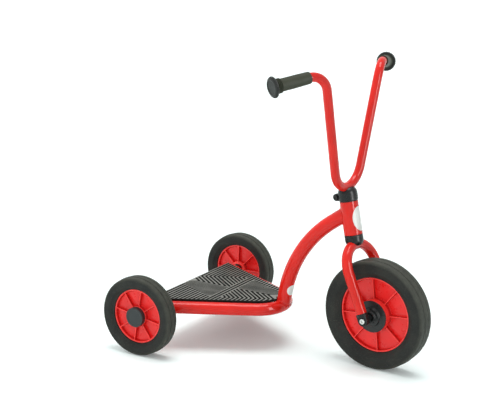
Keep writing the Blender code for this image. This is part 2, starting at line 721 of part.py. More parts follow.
def make_front_axle(steering):
    """The bolt and sleeve nut through both fork ends, and the spacers beside the hub."""
    axle = Matrix.Translation(AXLE_IN_STEERING) @ Matrix.Rotation(math.radians(-90), 4, "X")
    seat = FORK_HALF_WIDTH + AXLE_HEAD_SEAT + GAP
    head = seat + AXLE_HEAD_HEIGHT
    edge = head - AXLE_HEAD_ROUND
    flat = AXLE_HEAD_RADIUS - AXLE_HEAD_ROUND
    radius = FRONT_AXLE_RADIUS
    bore = radius + GAP
    bolt = [(0, -head), (flat, -head), (AXLE_HEAD_RADIUS, -edge), (AXLE_HEAD_RADIUS, -seat)]
    bolt += [(radius, -seat), (radius, seat + AXLE_NUT_THREAD - GAP), (0, seat + AXLE_NUT_THREAD - GAP)]
    bolt = add_piece("front_axle_bolt", turned(bolt, SMALL_SIDES), ZINC_STEEL, steering, axle)
    socket = turned(rod_profile(AXLE_SOCKET_RADIUS, -head - PAST, -head + AXLE_SOCKET_DEPTH), HEX_SIDES)
    cut(bolt, add_tool("front_bolt_socket", socket, steering, axle))
    nut = [(bore, seat), (AXLE_HEAD_RADIUS, seat), (AXLE_HEAD_RADIUS, edge), (flat, head), (0, head)]
    nut += [(0, seat + AXLE_NUT_THREAD), (bore, seat + AXLE_NUT_THREAD)]
    add_piece("front_axle_nut", turned(nut, SMALL_SIDES), ZINC_STEEL, steering, axle)
    inner = FRONT_BOSS_OUT + GAP
    outer = FORK_HALF_WIDTH - FORK_END_THICKNESS / 2 - GAP
    for name, low, high in (("front_spacer_left", inner, outer), ("front_spacer_right", -outer, -inner)):
        spacer = turned(pipe_profile(FRONT_SPACER_RADIUS, bore, low, high), SMALL_SIDES)
        add_piece(name, spacer, BLACK_PLASTIC, steering, axle)
    reach = FRONT_BOSS_OUT - FRONT_BEARING_WIDTH - GAP
    sleeve = turned(pipe_profile(FRONT_SLEEVE_RADIUS, bore, -reach, reach), SMALL_SIDES)
    add_piece("front_hub_sleeve", sleeve, ZINC_STEEL, steering, axle)


def make_handlebar(steering):
    """Handlebar tube, its stem and the two grips."""
    add_piece("handlebar", swept(bar_stations(), BAR_RADIUS, SMALL_SIDES, BAR_BORE), RED_PAINT, steering)
    bar_space = add_tool("bar_space", swept(bar_stations(), BAR_RADIUS + GAP, SMALL_SIDES), steering)
    stem = turned(pipe_profile(STEM_RADIUS, STEM_BORE, STEM_BOTTOM, STEM_TOP), TUBE_SIDES)
    stem = add_piece("handlebar_stem", stem, RED_PAINT, steering)
    cut(stem, bar_space)
    to_steering = STRAIGHT.inverted()
    for name, side in (("grip_left", 1), ("grip_right", -1)):
        shoulder = to_steering @ Vector(mirror_y(BAR_SHOULDER, side))
        end = to_steering @ Vector(mirror_y(GRIP_END, side))
        start = end + (shoulder - end).normalized() * GRIP_LENGTH
        grip = turned(grip_profile(), TUBE_SIDES, True)
        add_piece(name, grip, GRIP_RUBBER, steering, along(start, end))
    return bar_space


def grip_profile():
    """Profile of a grip: a swelling sleeve, three rings and a thick round flange that closes the end."""
    bore = BAR_RADIUS + GAP
    end = GRIP_LENGTH
    roof = end - GRIP_WALL + GAP
    edge = GRIP_FLANGE_EDGE
    profile = [(bore, 0), (GRIP_START_RADIUS, 0), (GRIP_RADIUS, GRIP_LENGTH / 2)]
    for index in range(GRIP_RINGS):
        low = end - GRIP_FIRST_RING + index * GRIP_RING_PITCH
        high = low + GRIP_RING_WIDTH
        profile += [(GRIP_RADIUS, low), (GRIP_RING_RADIUS, low + edge)]
        profile += [(GRIP_RING_RADIUS, high - edge), (GRIP_RADIUS, high)]
    low = end - GRIP_FLANGE_WIDTH
    profile += [(GRIP_FLANGE_RADIUS - edge, low), (GRIP_FLANGE_RADIUS, low + edge)]
    profile += [(GRIP_FLANGE_RADIUS, end - edge), (GRIP_FLANGE_RADIUS - edge, end)]
    profile += [(0, end), (0, roof), (bore, roof)]
    return profile


def make_clamp(steering, bar_space):
    """The split collar with its lug, bolt and nut."""
    inner = STEERER_RADIUS + GAP
    stem = STEM_RADIUS + GAP
    step = STEERER_TOP + GAP
    profile = [(inner, COLLAR_BOTTOM), (COLLAR_RADIUS, COLLAR_BOTTOM)]
    profile += reversed(dome((stem, COLLAR_TOP), (COLLAR_RADIUS, COLLAR_SHOULDER)))
    profile += [(stem, step), (inner, step)]
    collar = add_piece("clamp_collar", turned(profile, HUB_SIDES), BLACK_PLASTIC, steering)
    lug = prism(stadium(LUG_RADIUS, LUG_RADIUS, LUG_STEPS), -LUG_HALF_WIDTH, LUG_HALF_WIDTH)
    across = Matrix.Translation((LUG_BOLT_X, 0, LUG_BOLT_HEIGHT)) @ Matrix.Rotation(math.radians(90), 4, "X")
    join(collar, add_tool("lug", lug, steering, across))
    cut(collar, bar_space)
    half = CLAMP_SLOT / 2
    far = COLLAR_RADIUS + 2 * PAST
    slot = [(-far, -half), (0, -half), (0, half), (-far, half)]
    slot = prism(slot, COLLAR_BOTTOM - PAST, COLLAR_TOP + PAST)
    cut(collar, add_tool("clamp_slot", slot, steering))
    bore = CLAMP_BOLT_RADIUS + GAP
    far = LUG_HALF_WIDTH + PAST
    wide = SPOT_FACE_RADIUS
    hole = [(0, -far), (wide, -far), (wide, -LUG_HALF_WIDTH), (bore, -LUG_HALF_WIDTH)]
    hole += [(bore, LUG_HALF_WIDTH), (wide, LUG_HALF_WIDTH), (wide, far), (0, far)]
    cut(collar, add_tool("clamp_bolt_space", turned(hole, SMALL_SIDES), steering, across))
    seat = LUG_HALF_WIDTH + GAP
    tip = -seat - CLAMP_NUT_HEIGHT - 2 * GAP
    head = seat + CLAMP_HEAD_HEIGHT
    flat = CLAMP_HEAD_RADIUS - CLAMP_HEAD_ROUND
    bolt = [(0, tip), (CLAMP_BOLT_RADIUS, tip), (CLAMP_BOLT_RADIUS, seat), (CLAMP_HEAD_RADIUS, seat)]
    bolt += [(CLAMP_HEAD_RADIUS, head - CLAMP_HEAD_ROUND), (flat, head), (0, head)]
    bolt = add_piece("clamp_bolt", turned(bolt, SMALL_SIDES), BLACK_PAINT, steering, across)
    socket = turned(rod_profile(CLAMP_SOCKET_RADIUS, head - CLAMP_SOCKET_DEPTH, head + PAST), HEX_SIDES)
    cut(bolt, add_tool("clamp_bolt_socket", socket, steering, across))
    nut = turned(rod_profile(CLAMP_NUT_RADIUS, -seat - CLAMP_NUT_HEIGHT, -seat), HEX_SIDES)
    nut = add_piece("clamp_nut", nut, BLACK_PAINT, steering, across)
    nut_bore = turned(rod_profile(bore, -seat - PAST, -seat + PAST), SMALL_SIDES)
    cut(nut, add_tool("clamp_nut_bore", nut_bore, steering, across))


def tyre_profile(radius, width, rim_radius, rim_half):
    """Profile of a solid rubber tyre: slightly crowned tread, flat side walls and a lip down to the rim."""
    half = width / 2
    wall = radius - rim_radius
    one_side = [
        (rim_radius + GAP, rim_half - TYRE_LIP_INSET),
        (rim_radius + TYRE_LIP_RISE, rim_half + TYRE_LIP_OUT),
        (rim_radius + TYRE_WALL_START * wall, half),
        (radius - TYRE_SHOULDER, half),
        (radius - TYRE_CROWN, half * TYRE_TREAD_SHARE),
    ]
    other_side = [(spot, -height) for spot, height in reversed(one_side)]
    return one_side + [(radius, 0)] + other_side


def rear_rim_profile(rim_radius):
    """Profile of a rear rim: hub boss with two bearing seats, thin web, and barrel with two lips."""
    seat = REAR_BEARING_RADIUS + GAP
    depth = REAR_BEARING_WIDTH + GAP
    lip = rim_radius - RIM_LIP
    step = REAR_CAP_SKIRT - GAP
    out_side = [(REAR_SLEEVE_BORE, REAR_BOSS_OUT - depth), (seat, REAR_BOSS_OUT - depth)]
    out_side += [(seat, REAR_BOSS_OUT), (REAR_BOSS_RADIUS, REAR_BOSS_OUT)]
    out_side += [(REAR_BOSS_RADIUS, step), (REAR_CAP_RADIUS, step)]
    out_side += [(REAR_CAP_RADIUS + RIM_DRAFT, RIM_WEB), (lip - RIM_DRAFT, RIM_WEB)]
    out_side += [(lip, REAR_RIM_HALF), (rim_radius, REAR_RIM_HALF)]
    in_side = [(rim_radius, -REAR_RIM_HALF), (lip, -REAR_RIM_HALF), (lip - RIM_DRAFT, -RIM_WEB)]
    in_side += [(REAR_BOSS_RADIUS + RIM_DRAFT, -RIM_WEB), (REAR_BOSS_RADIUS, REAR_BOSS_IN)]
    in_side += [(seat, REAR_BOSS_IN), (seat, REAR_BOSS_IN + depth), (REAR_SLEEVE_BORE, REAR_BOSS_IN + depth)]
    return out_side + in_side


def front_rim_profile(rim_radius):
    """Profile of the front rim, which is alike on both sides of its web."""
    seat = FRONT_BEARING_RADIUS + GAP
    floor = FRONT_BOSS_OUT - FRONT_BEARING_WIDTH - GAP
    lip = rim_radius - RIM_LIP
    half = [(FRONT_SLEEVE_BORE, floor), (seat, floor), (seat, FRONT_BOSS_OUT)]
    half += [(FRONT_BOSS_RADIUS, FRONT_BOSS_OUT), (FRONT_BOSS_RADIUS + RIM_DRAFT, RIM_WEB)]
    half += [(lip - RIM_DRAFT, RIM_WEB), (lip, FRONT_RIM_HALF), (rim_radius, FRONT_RIM_HALF)]
    other = [(radius, -height) for radius, height in reversed(half)]
    return half + other


def rim_ribs(boss_radius, rim_radius, height, inner_height, phase):
    """Eight radial plates that run from the hub to the barrel through the web."""
    ribs = bmesh.new()
    half = RIB_THICKNESS / 2
    inner = boss_radius - RIM_LIP
    outer = rim_radius - RIM_LIP / 2
    outline = [(inner, -inner_height), (outer, -height), (outer, height), (inner, height)]
    for index in range(RIB_COUNT):
        turn = Matrix.Rotation(phase + 2 * math.pi * index / RIB_COUNT, 4, "Z")
        sides = []
        for offset in (-half, half):
            corners = [turn @ Vector((radius, offset, height)) for radius, height in outline]
            sides.append([ribs.verts.new(corner) for corner in corners])
        bridge(ribs, *sides)
        ribs.faces.new(sides[0])
        ribs.faces.new(sides[1])
    return ribs


def add_bearing(name, parent, radius, bore, low, high):
    """A shielded ball bearing, drawn closed as one ring."""
    add_piece(name, turned(pipe_profile(radius, bore, low, high), TUBE_SIDES), ZINC_STEEL, parent)


def make_rear_wheel(side_name, datum):
    """One rear wheel with its bearings and cap, and the fixed spacers, washer and nut on its axle."""
    side = 1 if side_name == "left" else -1
    outward = Matrix.Rotation(math.radians(-90 * side), 4, "X")
    place = Matrix.Translation((0, side * TRACK / 2, REAR_RADIUS)) @ outward
    axle = add_empty("rear_axle_%s_datum" % side_name, datum, place)
    rim_radius = REAR_RADIUS * RIM_SHARE
    tyre = tyre_profile(REAR_RADIUS, REAR_TYRE_WIDTH, rim_radius, REAR_RIM_HALF)
    add_piece("rear_tyre_" + side_name, turned(tyre, WHEEL_SIDES, True), TYRE_RUBBER, axle)
    rim = turned(rear_rim_profile(rim_radius), WHEEL_SIDES, True)
    rim = add_piece("rear_rim_" + side_name, rim, RED_PLASTIC, axle)
    phase = RIB_PHASE["rear_" + side_name] * -side
    boss = -REAR_BOSS_IN - RIB_BELOW_LIP
    ribs = rim_ribs(REAR_BOSS_RADIUS, rim_radius, REAR_RIM_HALF - RIB_BELOW_LIP, boss, phase)
    join(rim, add_tool("rear_ribs_" + side_name, ribs, axle))

    bore = REAR_AXLE_RADIUS + GAP
    outer_low = REAR_BOSS_OUT - REAR_BEARING_WIDTH
    inner_high = REAR_BOSS_IN + REAR_BEARING_WIDTH
    add_bearing("rear_bearing_outer_" + side_name, axle, REAR_BEARING_RADIUS, bore, outer_low, REAR_BOSS_OUT)
    add_bearing("rear_bearing_inner_" + side_name, axle, REAR_BEARING_RADIUS, bore, REAR_BOSS_IN, inner_high)
    sleeve = turned(pipe_profile(REAR_SLEEVE_RADIUS, bore, inner_high + GAP, outer_low - GAP), SMALL_SIDES)
    add_piece("rear_hub_sleeve_" + side_name, sleeve, ZINC_STEEL, axle)
    spacer_low = AXLE_TUBE_END + GAP - TRACK / 2
    spacer = turned(pipe_profile(SPACER_RADIUS, bore, spacer_low, REAR_BOSS_IN - GAP), SMALL_SIDES)
    add_piece("rear_spacer_" + side_name, spacer, BLACK_PLASTIC, axle)
    washer_low = REAR_BOSS_OUT + GAP
    washer_high = washer_low + WASHER_THICKNESS
    washer = turned(pipe_profile(WASHER_RADIUS, bore, washer_low, washer_high), SMALL_SIDES)
    add_piece("rear_washer_" + side_name, washer, ZINC_STEEL, axle)
    nut_low = washer_high + GAP
    nut = turned(rod_profile(REAR_NUT_RADIUS, nut_low, nut_low + REAR_NUT_HEIGHT), HEX_SIDES)
    nut = add_piece("rear_nut_" + side_name, nut, ZINC_STEEL, axle)
    bore_tool = turned(rod_profile(bore, nut_low - PAST, nut_low + PAST), SMALL_SIDES)
    cut(nut, add_tool("rear_nut_bore_" + side_name, bore_tool, axle))

    skirt = REAR_BOSS_RADIUS + 3 * GAP
    roof = REAR_CAP_FACE - REAR_CAP_WALL
    edge = REAR_CAP_FACE - REAR_CAP_ROUND
    cap = [(skirt, REAR_CAP_SKIRT), (REAR_CAP_RADIUS, REAR_CAP_SKIRT), (REAR_CAP_RADIUS, edge)]
    cap += [(REAR_CAP_RADIUS - REAR_CAP_ROUND, REAR_CAP_FACE), (0, REAR_CAP_FACE), (0, roof), (skirt, roof)]
    add_piece("rear_hub_cap_" + side_name, turned(cap, HUB_SIDES), BLACK_PLASTIC, axle)


def make_rear_axle(datum):
    """The axle rod and the bushes that hold it in the ends of the axle tube."""
    across = Matrix.Translation((0, 0, REAR_RADIUS)) @ Matrix.Rotation(math.radians(-90), 4, "X")
    reach = TRACK / 2 + REAR_AXLE_PAST_HUB
    rod = turned(rod_profile(REAR_AXLE_RADIUS, -reach, reach), SMALL_SIDES)
    add_piece("rear_axle", rod, ZINC_STEEL, datum, across)
    inner = REAR_AXLE_RADIUS + GAP
    outer = AXLE_TUBE_BORE - GAP
    for name, side in (("axle_bush_left", 1), ("axle_bush_right", -1)):
        ends = sorted((side * AXLE_TUBE_END, side * (AXLE_TUBE_END - AXLE_BUSH_LENGTH)))
        bush = turned(pipe_profile(outer, inner, *ends), SMALL_SIDES)
        add_piece(name, bush, ZINC_STEEL, datum, across)


def make_front_wheel(steering):
    """The front wheel with its bearings and the stepped hub cap on each side."""
    level = Matrix.Rotation(RAKE, 4, "Y") @ Matrix.Rotation(math.radians(-90), 4, "X")
    axle = add_empty("front_axle_datum", steering, Matrix.Translation(AXLE_IN_STEERING) @ level)
    rim_radius = FRONT_RADIUS * RIM_SHARE
    tyre = tyre_profile(FRONT_RADIUS, FRONT_TYRE_WIDTH, rim_radius, FRONT_RIM_HALF)
    add_piece("front_tyre", turned(tyre, WHEEL_SIDES, True), TYRE_RUBBER, axle)
    rim = add_piece("front_rim", turned(front_rim_profile(rim_radius), WHEEL_SIDES, True), RED_PLASTIC, axle)
    height = FRONT_RIM_HALF - RIB_BELOW_LIP
    ribs = rim_ribs(FRONT_BOSS_RADIUS, rim_radius, height, height, -RIB_PHASE["front"])
    join(rim, add_tool("front_ribs", ribs, axle))
    bore = FRONT_AXLE_RADIUS + GAP
    low = FRONT_BOSS_OUT - FRONT_BEARING_WIDTH
    add_bearing("front_bearing_left", axle, FRONT_BEARING_RADIUS, bore, low, FRONT_BOSS_OUT)
    add_bearing("front_bearing_right", axle, FRONT_BEARING_RADIUS, bore, -FRONT_BOSS_OUT, -low)
    for name, side in (("front_hub_cap_left", 1), ("front_hub_cap_right", -1)):
        turn = Matrix.Rotation(math.radians(0 if side > 0 else 180), 4, "X")
        add_piece(name, turned(front_cap_profile(), HUB_SIDES), BLACK_PLASTIC, axle, turn)


def front_cap_profile():
    """Profile of a front hub cap: a disc over the hub, a raised collar and a short nose round the spacer."""
    bore = FRONT_SPACER_RADIUS + 2 * GAP
    low = FRONT_BOSS_OUT + GAP
    step = 0.0010
    profile = [(bore, low), (FRONT_CAP_RADIUS, low), (FRONT_CAP_RADIUS, FRONT_CAP_FACE - step)]
    profile += [(FRONT_CAP_RADIUS - step, FRONT_CAP_FACE), (FRONT_COLLAR_RADIUS, FRONT_CAP_FACE)]
    profile += [(FRONT_COLLAR_RADIUS - step, FRONT_COLLAR_FACE - step)]
    profile += [(FRONT_COLLAR_RADIUS - 2 * step, FRONT_COLLAR_FACE), (FRONT_NOSE_RADIUS, FRONT_COLLAR_FACE)]
    profile += [(FRONT_NOSE_RADIUS - step, FRONT_NOSE_FACE), (bore, FRONT_NOSE_FACE)]
    return profile


def build_scooter():
    """Make the whole scooter with its wheels and handlebar at rest."""
    clear_scene()
    datum = add_empty("rear_ground_datum", None, Matrix.Translation((-MIDDLE_X, 0, 0)))
    make_frame(datum)
    make_deck(datum)
    make_headset(datum)
    make_rear_axle(datum)
    make_rear_wheel("left", datum)
    make_rear_wheel("right", datum)
    steering = add_empty("steering_axis", datum, STRAIGHT @ Matrix.Rotation(REST_STEER, 4, "Z"))
    make_fork(steering)
    make_fork_end("fork_end_left", steering, 1)
    make_fork_end("fork_end_right", steering, -1)
    make_front_axle(steering)
    bar_space = make_handlebar(steering)
    make_clamp(steering, bar_space)
    make_front_wheel(steering)


build_scooter()
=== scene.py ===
"""Looks of the three-wheel kick scooter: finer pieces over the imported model, materials and stage.

Lengths are in metres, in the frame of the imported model. Each piece is drawn from the same sizes
as the solid that it stands for, with smooth rounds, moulded ribs, weld beads and the surface of
its material. A profile is a list of (radius, height) points.
"""

import json
import math

import bmesh
import bpy
from mathutils import Matrix, Vector


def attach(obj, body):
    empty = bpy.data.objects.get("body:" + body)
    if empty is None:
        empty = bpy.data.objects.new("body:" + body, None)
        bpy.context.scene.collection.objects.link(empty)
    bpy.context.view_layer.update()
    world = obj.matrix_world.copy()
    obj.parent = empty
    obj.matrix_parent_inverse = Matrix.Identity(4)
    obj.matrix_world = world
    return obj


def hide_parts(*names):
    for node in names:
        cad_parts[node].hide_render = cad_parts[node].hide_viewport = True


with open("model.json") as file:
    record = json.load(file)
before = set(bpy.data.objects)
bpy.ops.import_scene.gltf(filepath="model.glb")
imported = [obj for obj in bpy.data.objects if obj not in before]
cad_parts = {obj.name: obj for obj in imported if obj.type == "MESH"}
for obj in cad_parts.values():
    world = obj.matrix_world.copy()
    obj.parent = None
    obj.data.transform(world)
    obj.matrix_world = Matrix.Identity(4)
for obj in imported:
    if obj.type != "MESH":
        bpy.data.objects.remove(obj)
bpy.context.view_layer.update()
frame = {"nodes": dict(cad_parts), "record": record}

SIDES = (("left", 1), ("right", -1))

# Sizes shared with the solids; a tube has an outer radius and a bore
MIDDLE_X = 0.2527
WHEELBASE = 0.4741
TRACK = 0.4228
FRONT_RADIUS = 0.1200
REAR_RADIUS = 0.0884
FRONT_TYRE_HALF = 0.0230
REAR_TYRE_HALF = 0.0186
RIM_SHARE = 0.685
FRONT_RIM_HALF = 0.0110
REAR_RIM_HALF = 0.0095
RIM_WALL = 0.0028
WEB_HALF = 0.0018
RIBS = 8
RIB_THICKNESS = 0.0026
RIB_DROP = 0.0010
RIB_INSET = 0.0014
RAKE = math.radians(10.97)
REST_STEER = math.radians(-5.1)
HEAD_RADIUS = 0.0200
HEAD_BORE = 0.0170
HEAD_BOTTOM = 0.1695
HEAD_TOP = 0.2416
RAIL_TUBE = (0.0140, 0.0120)
RAIL_APEX = 0.3205
RAIL_HEIGHT = 0.0955
RAIL_BEND = 0.0685
RAIL_ANGLE = math.radians(27.5)
MAIN_TUBE = (0.0160, 0.0140)
MAIN_FOOT = (0.2425, 0, 0.1005)
MAIN_FOOT_ANGLE = math.radians(80)
MAIN_TOP_ANGLE = math.radians(35)
MAIN_STRAIGHT = 0.0290
MAIN_BEND = 0.2743
MAIN_END = 0.0420
AXLE_TUBE = (0.0110, 0.0090)
AXLE_TUBE_HALF = 0.1850
FORK_TUBE = (0.01125, 0.0093)
FORK_HALF = 0.0548
FORK_APEX = 0.1465
FORK_BEND = 0.0515
FORK_CUT = 0.0164
EYE_LENGTH = 0.0152
EYE_RADIUS = 0.0115
EYE_HALF = 0.0070
EYE_FLOOR = 0.0045
RECESS_RADIUS = 0.0071
SPACER = (0.0088, 0.0043)
SPACER_ENDS = (0.0220, 0.0475)
BOLT_HEAD = 0.0042
GAP = 0.0003
BAR_TUBE = (0.0098, 0.0080)
BAR_FOOT = (0.3849, 0, 0.2380)
BAR_BENDS = (0.0410, 0.0525, 0.0410)
SHOULDER = (0.4030, 0.1092, 0.6440)
GRIP_END = (0.3509, 0.2232, 0.6249)
GRIP_LENGTH = 0.0884

# Sizes of the finer forms
NEARLY_STRAIGHT = math.radians(172)
ARC_SHARE = 0.45
SHARP_EDGE = 35
WELD_LIFT = 0.0004
FILM_LIFT = 0.00005
FILM_THICKNESS = 0.00016
SCALLOPS = 36
SCALLOP_DEPTH = 0.0006

REAR = Matrix.Translation((-MIDDLE_X, 0, 0))
STRAIGHT = Matrix.Translation((0.4430, 0, FRONT_RADIUS)) @ Matrix.Rotation(-RAKE, 4, "Y")
HEAD = REAR @ STRAIGHT
STEERED = HEAD @ Matrix.Rotation(REST_STEER, 4, "Z")
AXLE = STRAIGHT.inverted() @ Vector((WHEELBASE, 0, FRONT_RADIUS))
ACROSS = Matrix.Rotation(math.radians(-90), 4, "X")


# Mesh helpers

def rounded(points, radius, steps=4):
    """The closed profile with a small arc at each corner, except on the axis."""
    result = []
    for index, point in enumerate(points):
        here = Vector(point)
        if point[0] == 0:
            result.append(tuple(point))
            continue
        before = Vector(points[index - 1]) - here
        after = Vector(points[(index + 1) % len(points)]) - here
        if before.angle(after) > NEARLY_STRAIGHT:
            result.append(tuple(point))
            continue
        start = here + before.normalized() * min(radius, ARC_SHARE * before.length)
        end = here + after.normalized() * min(radius, ARC_SHARE * after.length)
        for step in range(steps + 1):
            t = step / steps
            spot = start * (1 - t) ** 2 + here * 2 * t * (1 - t) + end * t ** 2
            result.append((spot.x, spot.y))
    return result


def dome(inner, outer, steps=16):
    """Quarter of an oval from the outer point, upright there, to the inner one, flat there."""
    points = []
    for index in range(steps + 1):
        angle = math.pi / 2 * (1 - index / steps)
        radius = inner[0] + (outer[0] - inner[0]) * math.cos(angle)
        points.append((radius, outer[1] + (inner[1] - outer[1]) * math.sin(angle)))
    return points


def mirrored(half, middle=()):
    """Profile of the upper half, the points at mid height and the lower half."""
    return half + list(middle) + [(radius, -height) for radius, height in reversed(half)]


def lathe(profile, sides, scallop=None):
    """Solid turned about Z from a closed profile; scallop(radius, angle) may change the radius."""
    solid = bmesh.new()
    rings = []
    for radius, height in profile:
        if radius == 0:
            rings.append([solid.verts.new((0, 0, height))])
            continue
        ring = []
        for side in range(sides):
            angle = 2 * math.pi * side / sides
            reach = scallop(radius, angle) if scallop else radius
            spot = (reach * math.cos(angle), reach * math.sin(angle), height)
            ring.append(solid.verts.new(spot))
        rings.append(ring)
    for lower, upper in zip(rings, rings[1:] + rings[:1]):
        for side in range(sides):
            after = (side + 1) % sides
            corners = [lower[side % len(lower)], lower[after % len(lower)]]
            corners += [upper[after % len(upper)], upper[side % len(upper)]]
            corners = list(dict.fromkeys(corners))
            if len(corners) > 2:
                solid.faces.new(corners)
    return solid


def sleeve(bore, radius, low, high, rounding, sides):
    """Plain ring about Z with rounded edges; with a bore of 0 it is a solid pin."""
    profile = [(bore, low), (radius, low), (radius, high), (bore, high)]
    return lathe(rounded(profile, rounding), sides)


def rod(radius, low, high, sides):
    """Plain cylinder or upright prism about Z."""
    return lathe([(0, low), (radius, low), (radius, high), (0, high)], sides)


def bent_path(corners, bends, step=math.radians(3), gap=0.02):
    """Points and directions along a line through the corners, rounded to the given bend radii."""
    corners = [Vector(corner) for corner in corners]
    stations = []
    last = corners[0]

    def run_to(spot, heading):
        count = max(1, round((spot - last).length / gap))
        first = 1 if stations else 0
        for index in range(first, count + 1):
            stations.append((last.lerp(spot, index / count), heading))

    for before, corner, after, bend in zip(corners, corners[1:], corners[2:], bends):
        incoming = (corner - before).normalized()
        outgoing = (after - corner).normalized()
        turn = incoming.angle(outgoing)
        start = corner - incoming * bend * math.tan(turn / 2)
        run_to(start, incoming)
        inward = (outgoing - incoming * incoming.dot(outgoing)).normalized()
        centre = start + inward * bend
        count = max(2, round(turn / step))
        for index in range(1, count + 1):
            angle = turn * index / count
            spot = centre + bend * (incoming * math.sin(angle) - inward * math.cos(angle))
            stations.append((spot, incoming * math.cos(angle) + inward * math.sin(angle)))
        last = stations[-1][0]
    run_to(corners[-1], (corners[-1] - corners[-2]).normalized())
    return stations


def ring_points(spot, across, beside, radius, sides):
    """Points on a circle about the spot, in the plane of two unit vectors."""
    turns = [2 * math.pi * side / sides for side in range(sides)]
    return [spot + (across * math.cos(turn) + beside * math.sin(turn)) * radius for turn in turns]


def bridge(solid, ring, following):
    """Quads between two rings of the same number of corners."""
    for side, corner in enumerate(ring):
        after = (side + 1) % len(ring)
        solid.faces.new((corner, ring[after], following[after], following[side]))


def sweep(solid, stations, radii, sides):
    """Round walls along a path, one for each radius; gives the rings of each wall."""
    direction = stations[0][1]
    across = direction.orthogonal().normalized()
    skins = [[] for _ in radii]
    for spot, heading in stations:
        across.rotate(direction.rotation_difference(heading))
        direction = heading
        beside = direction.cross(across)
        for skin, radius in zip(skins, radii):
            points = ring_points(spot, across, beside, radius, sides)
            skin.append([solid.verts.new(point) for point in points])
    for skin in skins:
        for ring, following in zip(skin, skin[1:]):
            bridge(solid, ring, following)
    return skins


def tube(stations, radius, bore, sides=40):
    """Pipe along a path with square ends."""
    solid = bmesh.new()
    outer, inner = sweep(solid, stations, (radius, bore), sides)
    for end in (0, -1):
        bridge(solid, outer[end], inner[end])
    return solid


def bar(stations, radius, sides=40):
    """Solid round bar along a path."""
    solid = bmesh.new()
    rings = sweep(solid, stations, (radius,), sides)[0]
    solid.faces.new(rings[0])
    solid.faces.new(rings[-1])
    return solid


def bead(points, radius, waves=46, ripple=0.0003, sides=10):
    """Weld bead along a closed loop of points."""
    solid = bmesh.new()
    count = len(points)
    centre = sum(points, Vector()) / count
    rings = []
    for index, point in enumerate(points):
        heading = (points[(index + 1) % count] - points[index - 1]).normalized()
        outward = point - centre
        outward = (outward - heading * outward.dot(heading)).normalized()
        reach = radius + ripple * math.sin(2 * math.pi * waves * index / count)
        ring = ring_points(point, outward, heading.cross(outward), reach, sides)
        rings.append([solid.verts.new(spot) for spot in ring])
    for ring, following in zip(rings, rings[1:] + rings[:1]):
        bridge(solid, ring, following)
    return solid


def prism(outline, bottom, top):
    """Upright solid over a flat outline of (x, y) points."""
    solid = bmesh.new()
    floor = [solid.verts.new((x, y, bottom)) for x, y in outline]
    roof = [solid.verts.new((x, y, top)) for x, y in outline]
    bridge(solid, floor, roof)
    solid.faces.new(floor)
    solid.faces.new(roof)
    return solid


def stadium(length, half_width, sides=24):
    """Outline with a round end about the origin and a square end at +length along x."""
    points = [(length, -half_width), (length, half_width)]
    for index in range(sides + 1):
        angle = math.pi / 2 + math.pi * index / sides
        points.append((half_width * math.cos(angle), half_width * math.sin(angle)))
    return points


def facing(spot, heading):
    """Matrix at the spot whose Z axis points along the heading."""
    return Matrix.Translation(spot) @ heading.to_track_quat("Z", "Y").to_matrix().to_4x4()


def along(start, end):
    """Matrix at the start whose Z axis runs towards the end."""
    return facing(start, Vector(end) - Vector(start))


def shaped(solid, changes):
    """The solid after Boolean changes, each a (solid, operation) pair in the same coordinates."""
    made = []
    for shape in [solid] + [change[0] for change in changes]:
        bmesh.ops.recalc_face_normals(shape, faces=shape.faces)
        mesh = bpy.data.meshes.new("shape")
        shape.to_mesh(mesh)
        shape.free()
        made.append(bpy.data.objects.new("shape", mesh))
        bpy.context.scene.collection.objects.link(made[-1])
    for tool, (_, operation) in zip(made[1:], changes):
        modifier = made[0].modifiers.new("shape", "BOOLEAN")
        modifier.operation = operation
        modifier.solver = "EXACT"
        modifier.object = tool
    result = bmesh.new()
    result.from_object(made[0], bpy.context.evaluated_depsgraph_get())
    for thing in made:
        bpy.data.objects.remove(thing, do_unlink=True)
    return result


def bevel(solid, width, sharp, clamp=True):
    """Round the edges that turn by more than the given angle in degrees."""
    limit = math.radians(sharp)
    edges = [edge for edge in solid.edges if edge.calc_face_angle(0) > limit]
    bmesh.ops.bevel(solid, geom=edges, offset=width, segments=3, profile=0.5, affect="EDGES",
                    clamp_overlap=clamp)


def softened(solid, width, clamp=True):
    """Bevel the sharp edges of a solid whose flat faces may be cut into triangles."""
    flat = math.radians(1)
    same_spot = 0.00001
    bmesh.ops.remove_doubles(solid, verts=solid.verts, dist=same_spot)
    bmesh.ops.dissolve_limit(solid, angle_limit=flat, verts=solid.verts, edges=solid.edges)
    bevel(solid, width, SHARP_EDGE, clamp)
    return solid


def add(name, solid, finish, body, nodes=(), place=None, sharp=40):
    """Put a solid in the scene as a smooth piece that rides on a body and stands for CAD nodes."""
    material, slot = finish
    if place is not None:
        solid.transform(place)
    bmesh.ops.recalc_face_normals(solid, faces=solid.faces)
    mesh = bpy.data.meshes.new(name)
    solid.to_mesh(mesh)
    solid.free()
    mesh.shade_smooth()
    mesh.set_sharp_from_angle(angle=math.radians(sharp))
    mesh.materials.append(material)
    piece = bpy.data.objects.new(name, mesh)
    bpy.context.scene.collection.objects.link(piece)
    weighted = piece.modifiers.new("even_shading", "WEIGHTED_NORMAL")
    weighted.keep_sharp = True
    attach(piece, body)
    if nodes:
        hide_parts(*nodes)


# Material helpers

def new_material(name, colour, roughness, specular=0.5, metallic=0.0):
    """A Principled material, its node tree and its shader."""
    material = bpy.data.materials.new(name)
    material.use_nodes = True
    tree = material.node_tree
    shader = tree.nodes["Principled BSDF"]
    shader.inputs["Base Color"].default_value = (*colour, 1)
    shader.inputs["Roughness"].default_value = roughness
    shader.inputs["Specular IOR Level"].default_value = specular
    shader.inputs["Metallic"].default_value = metallic
    return material, tree, shader


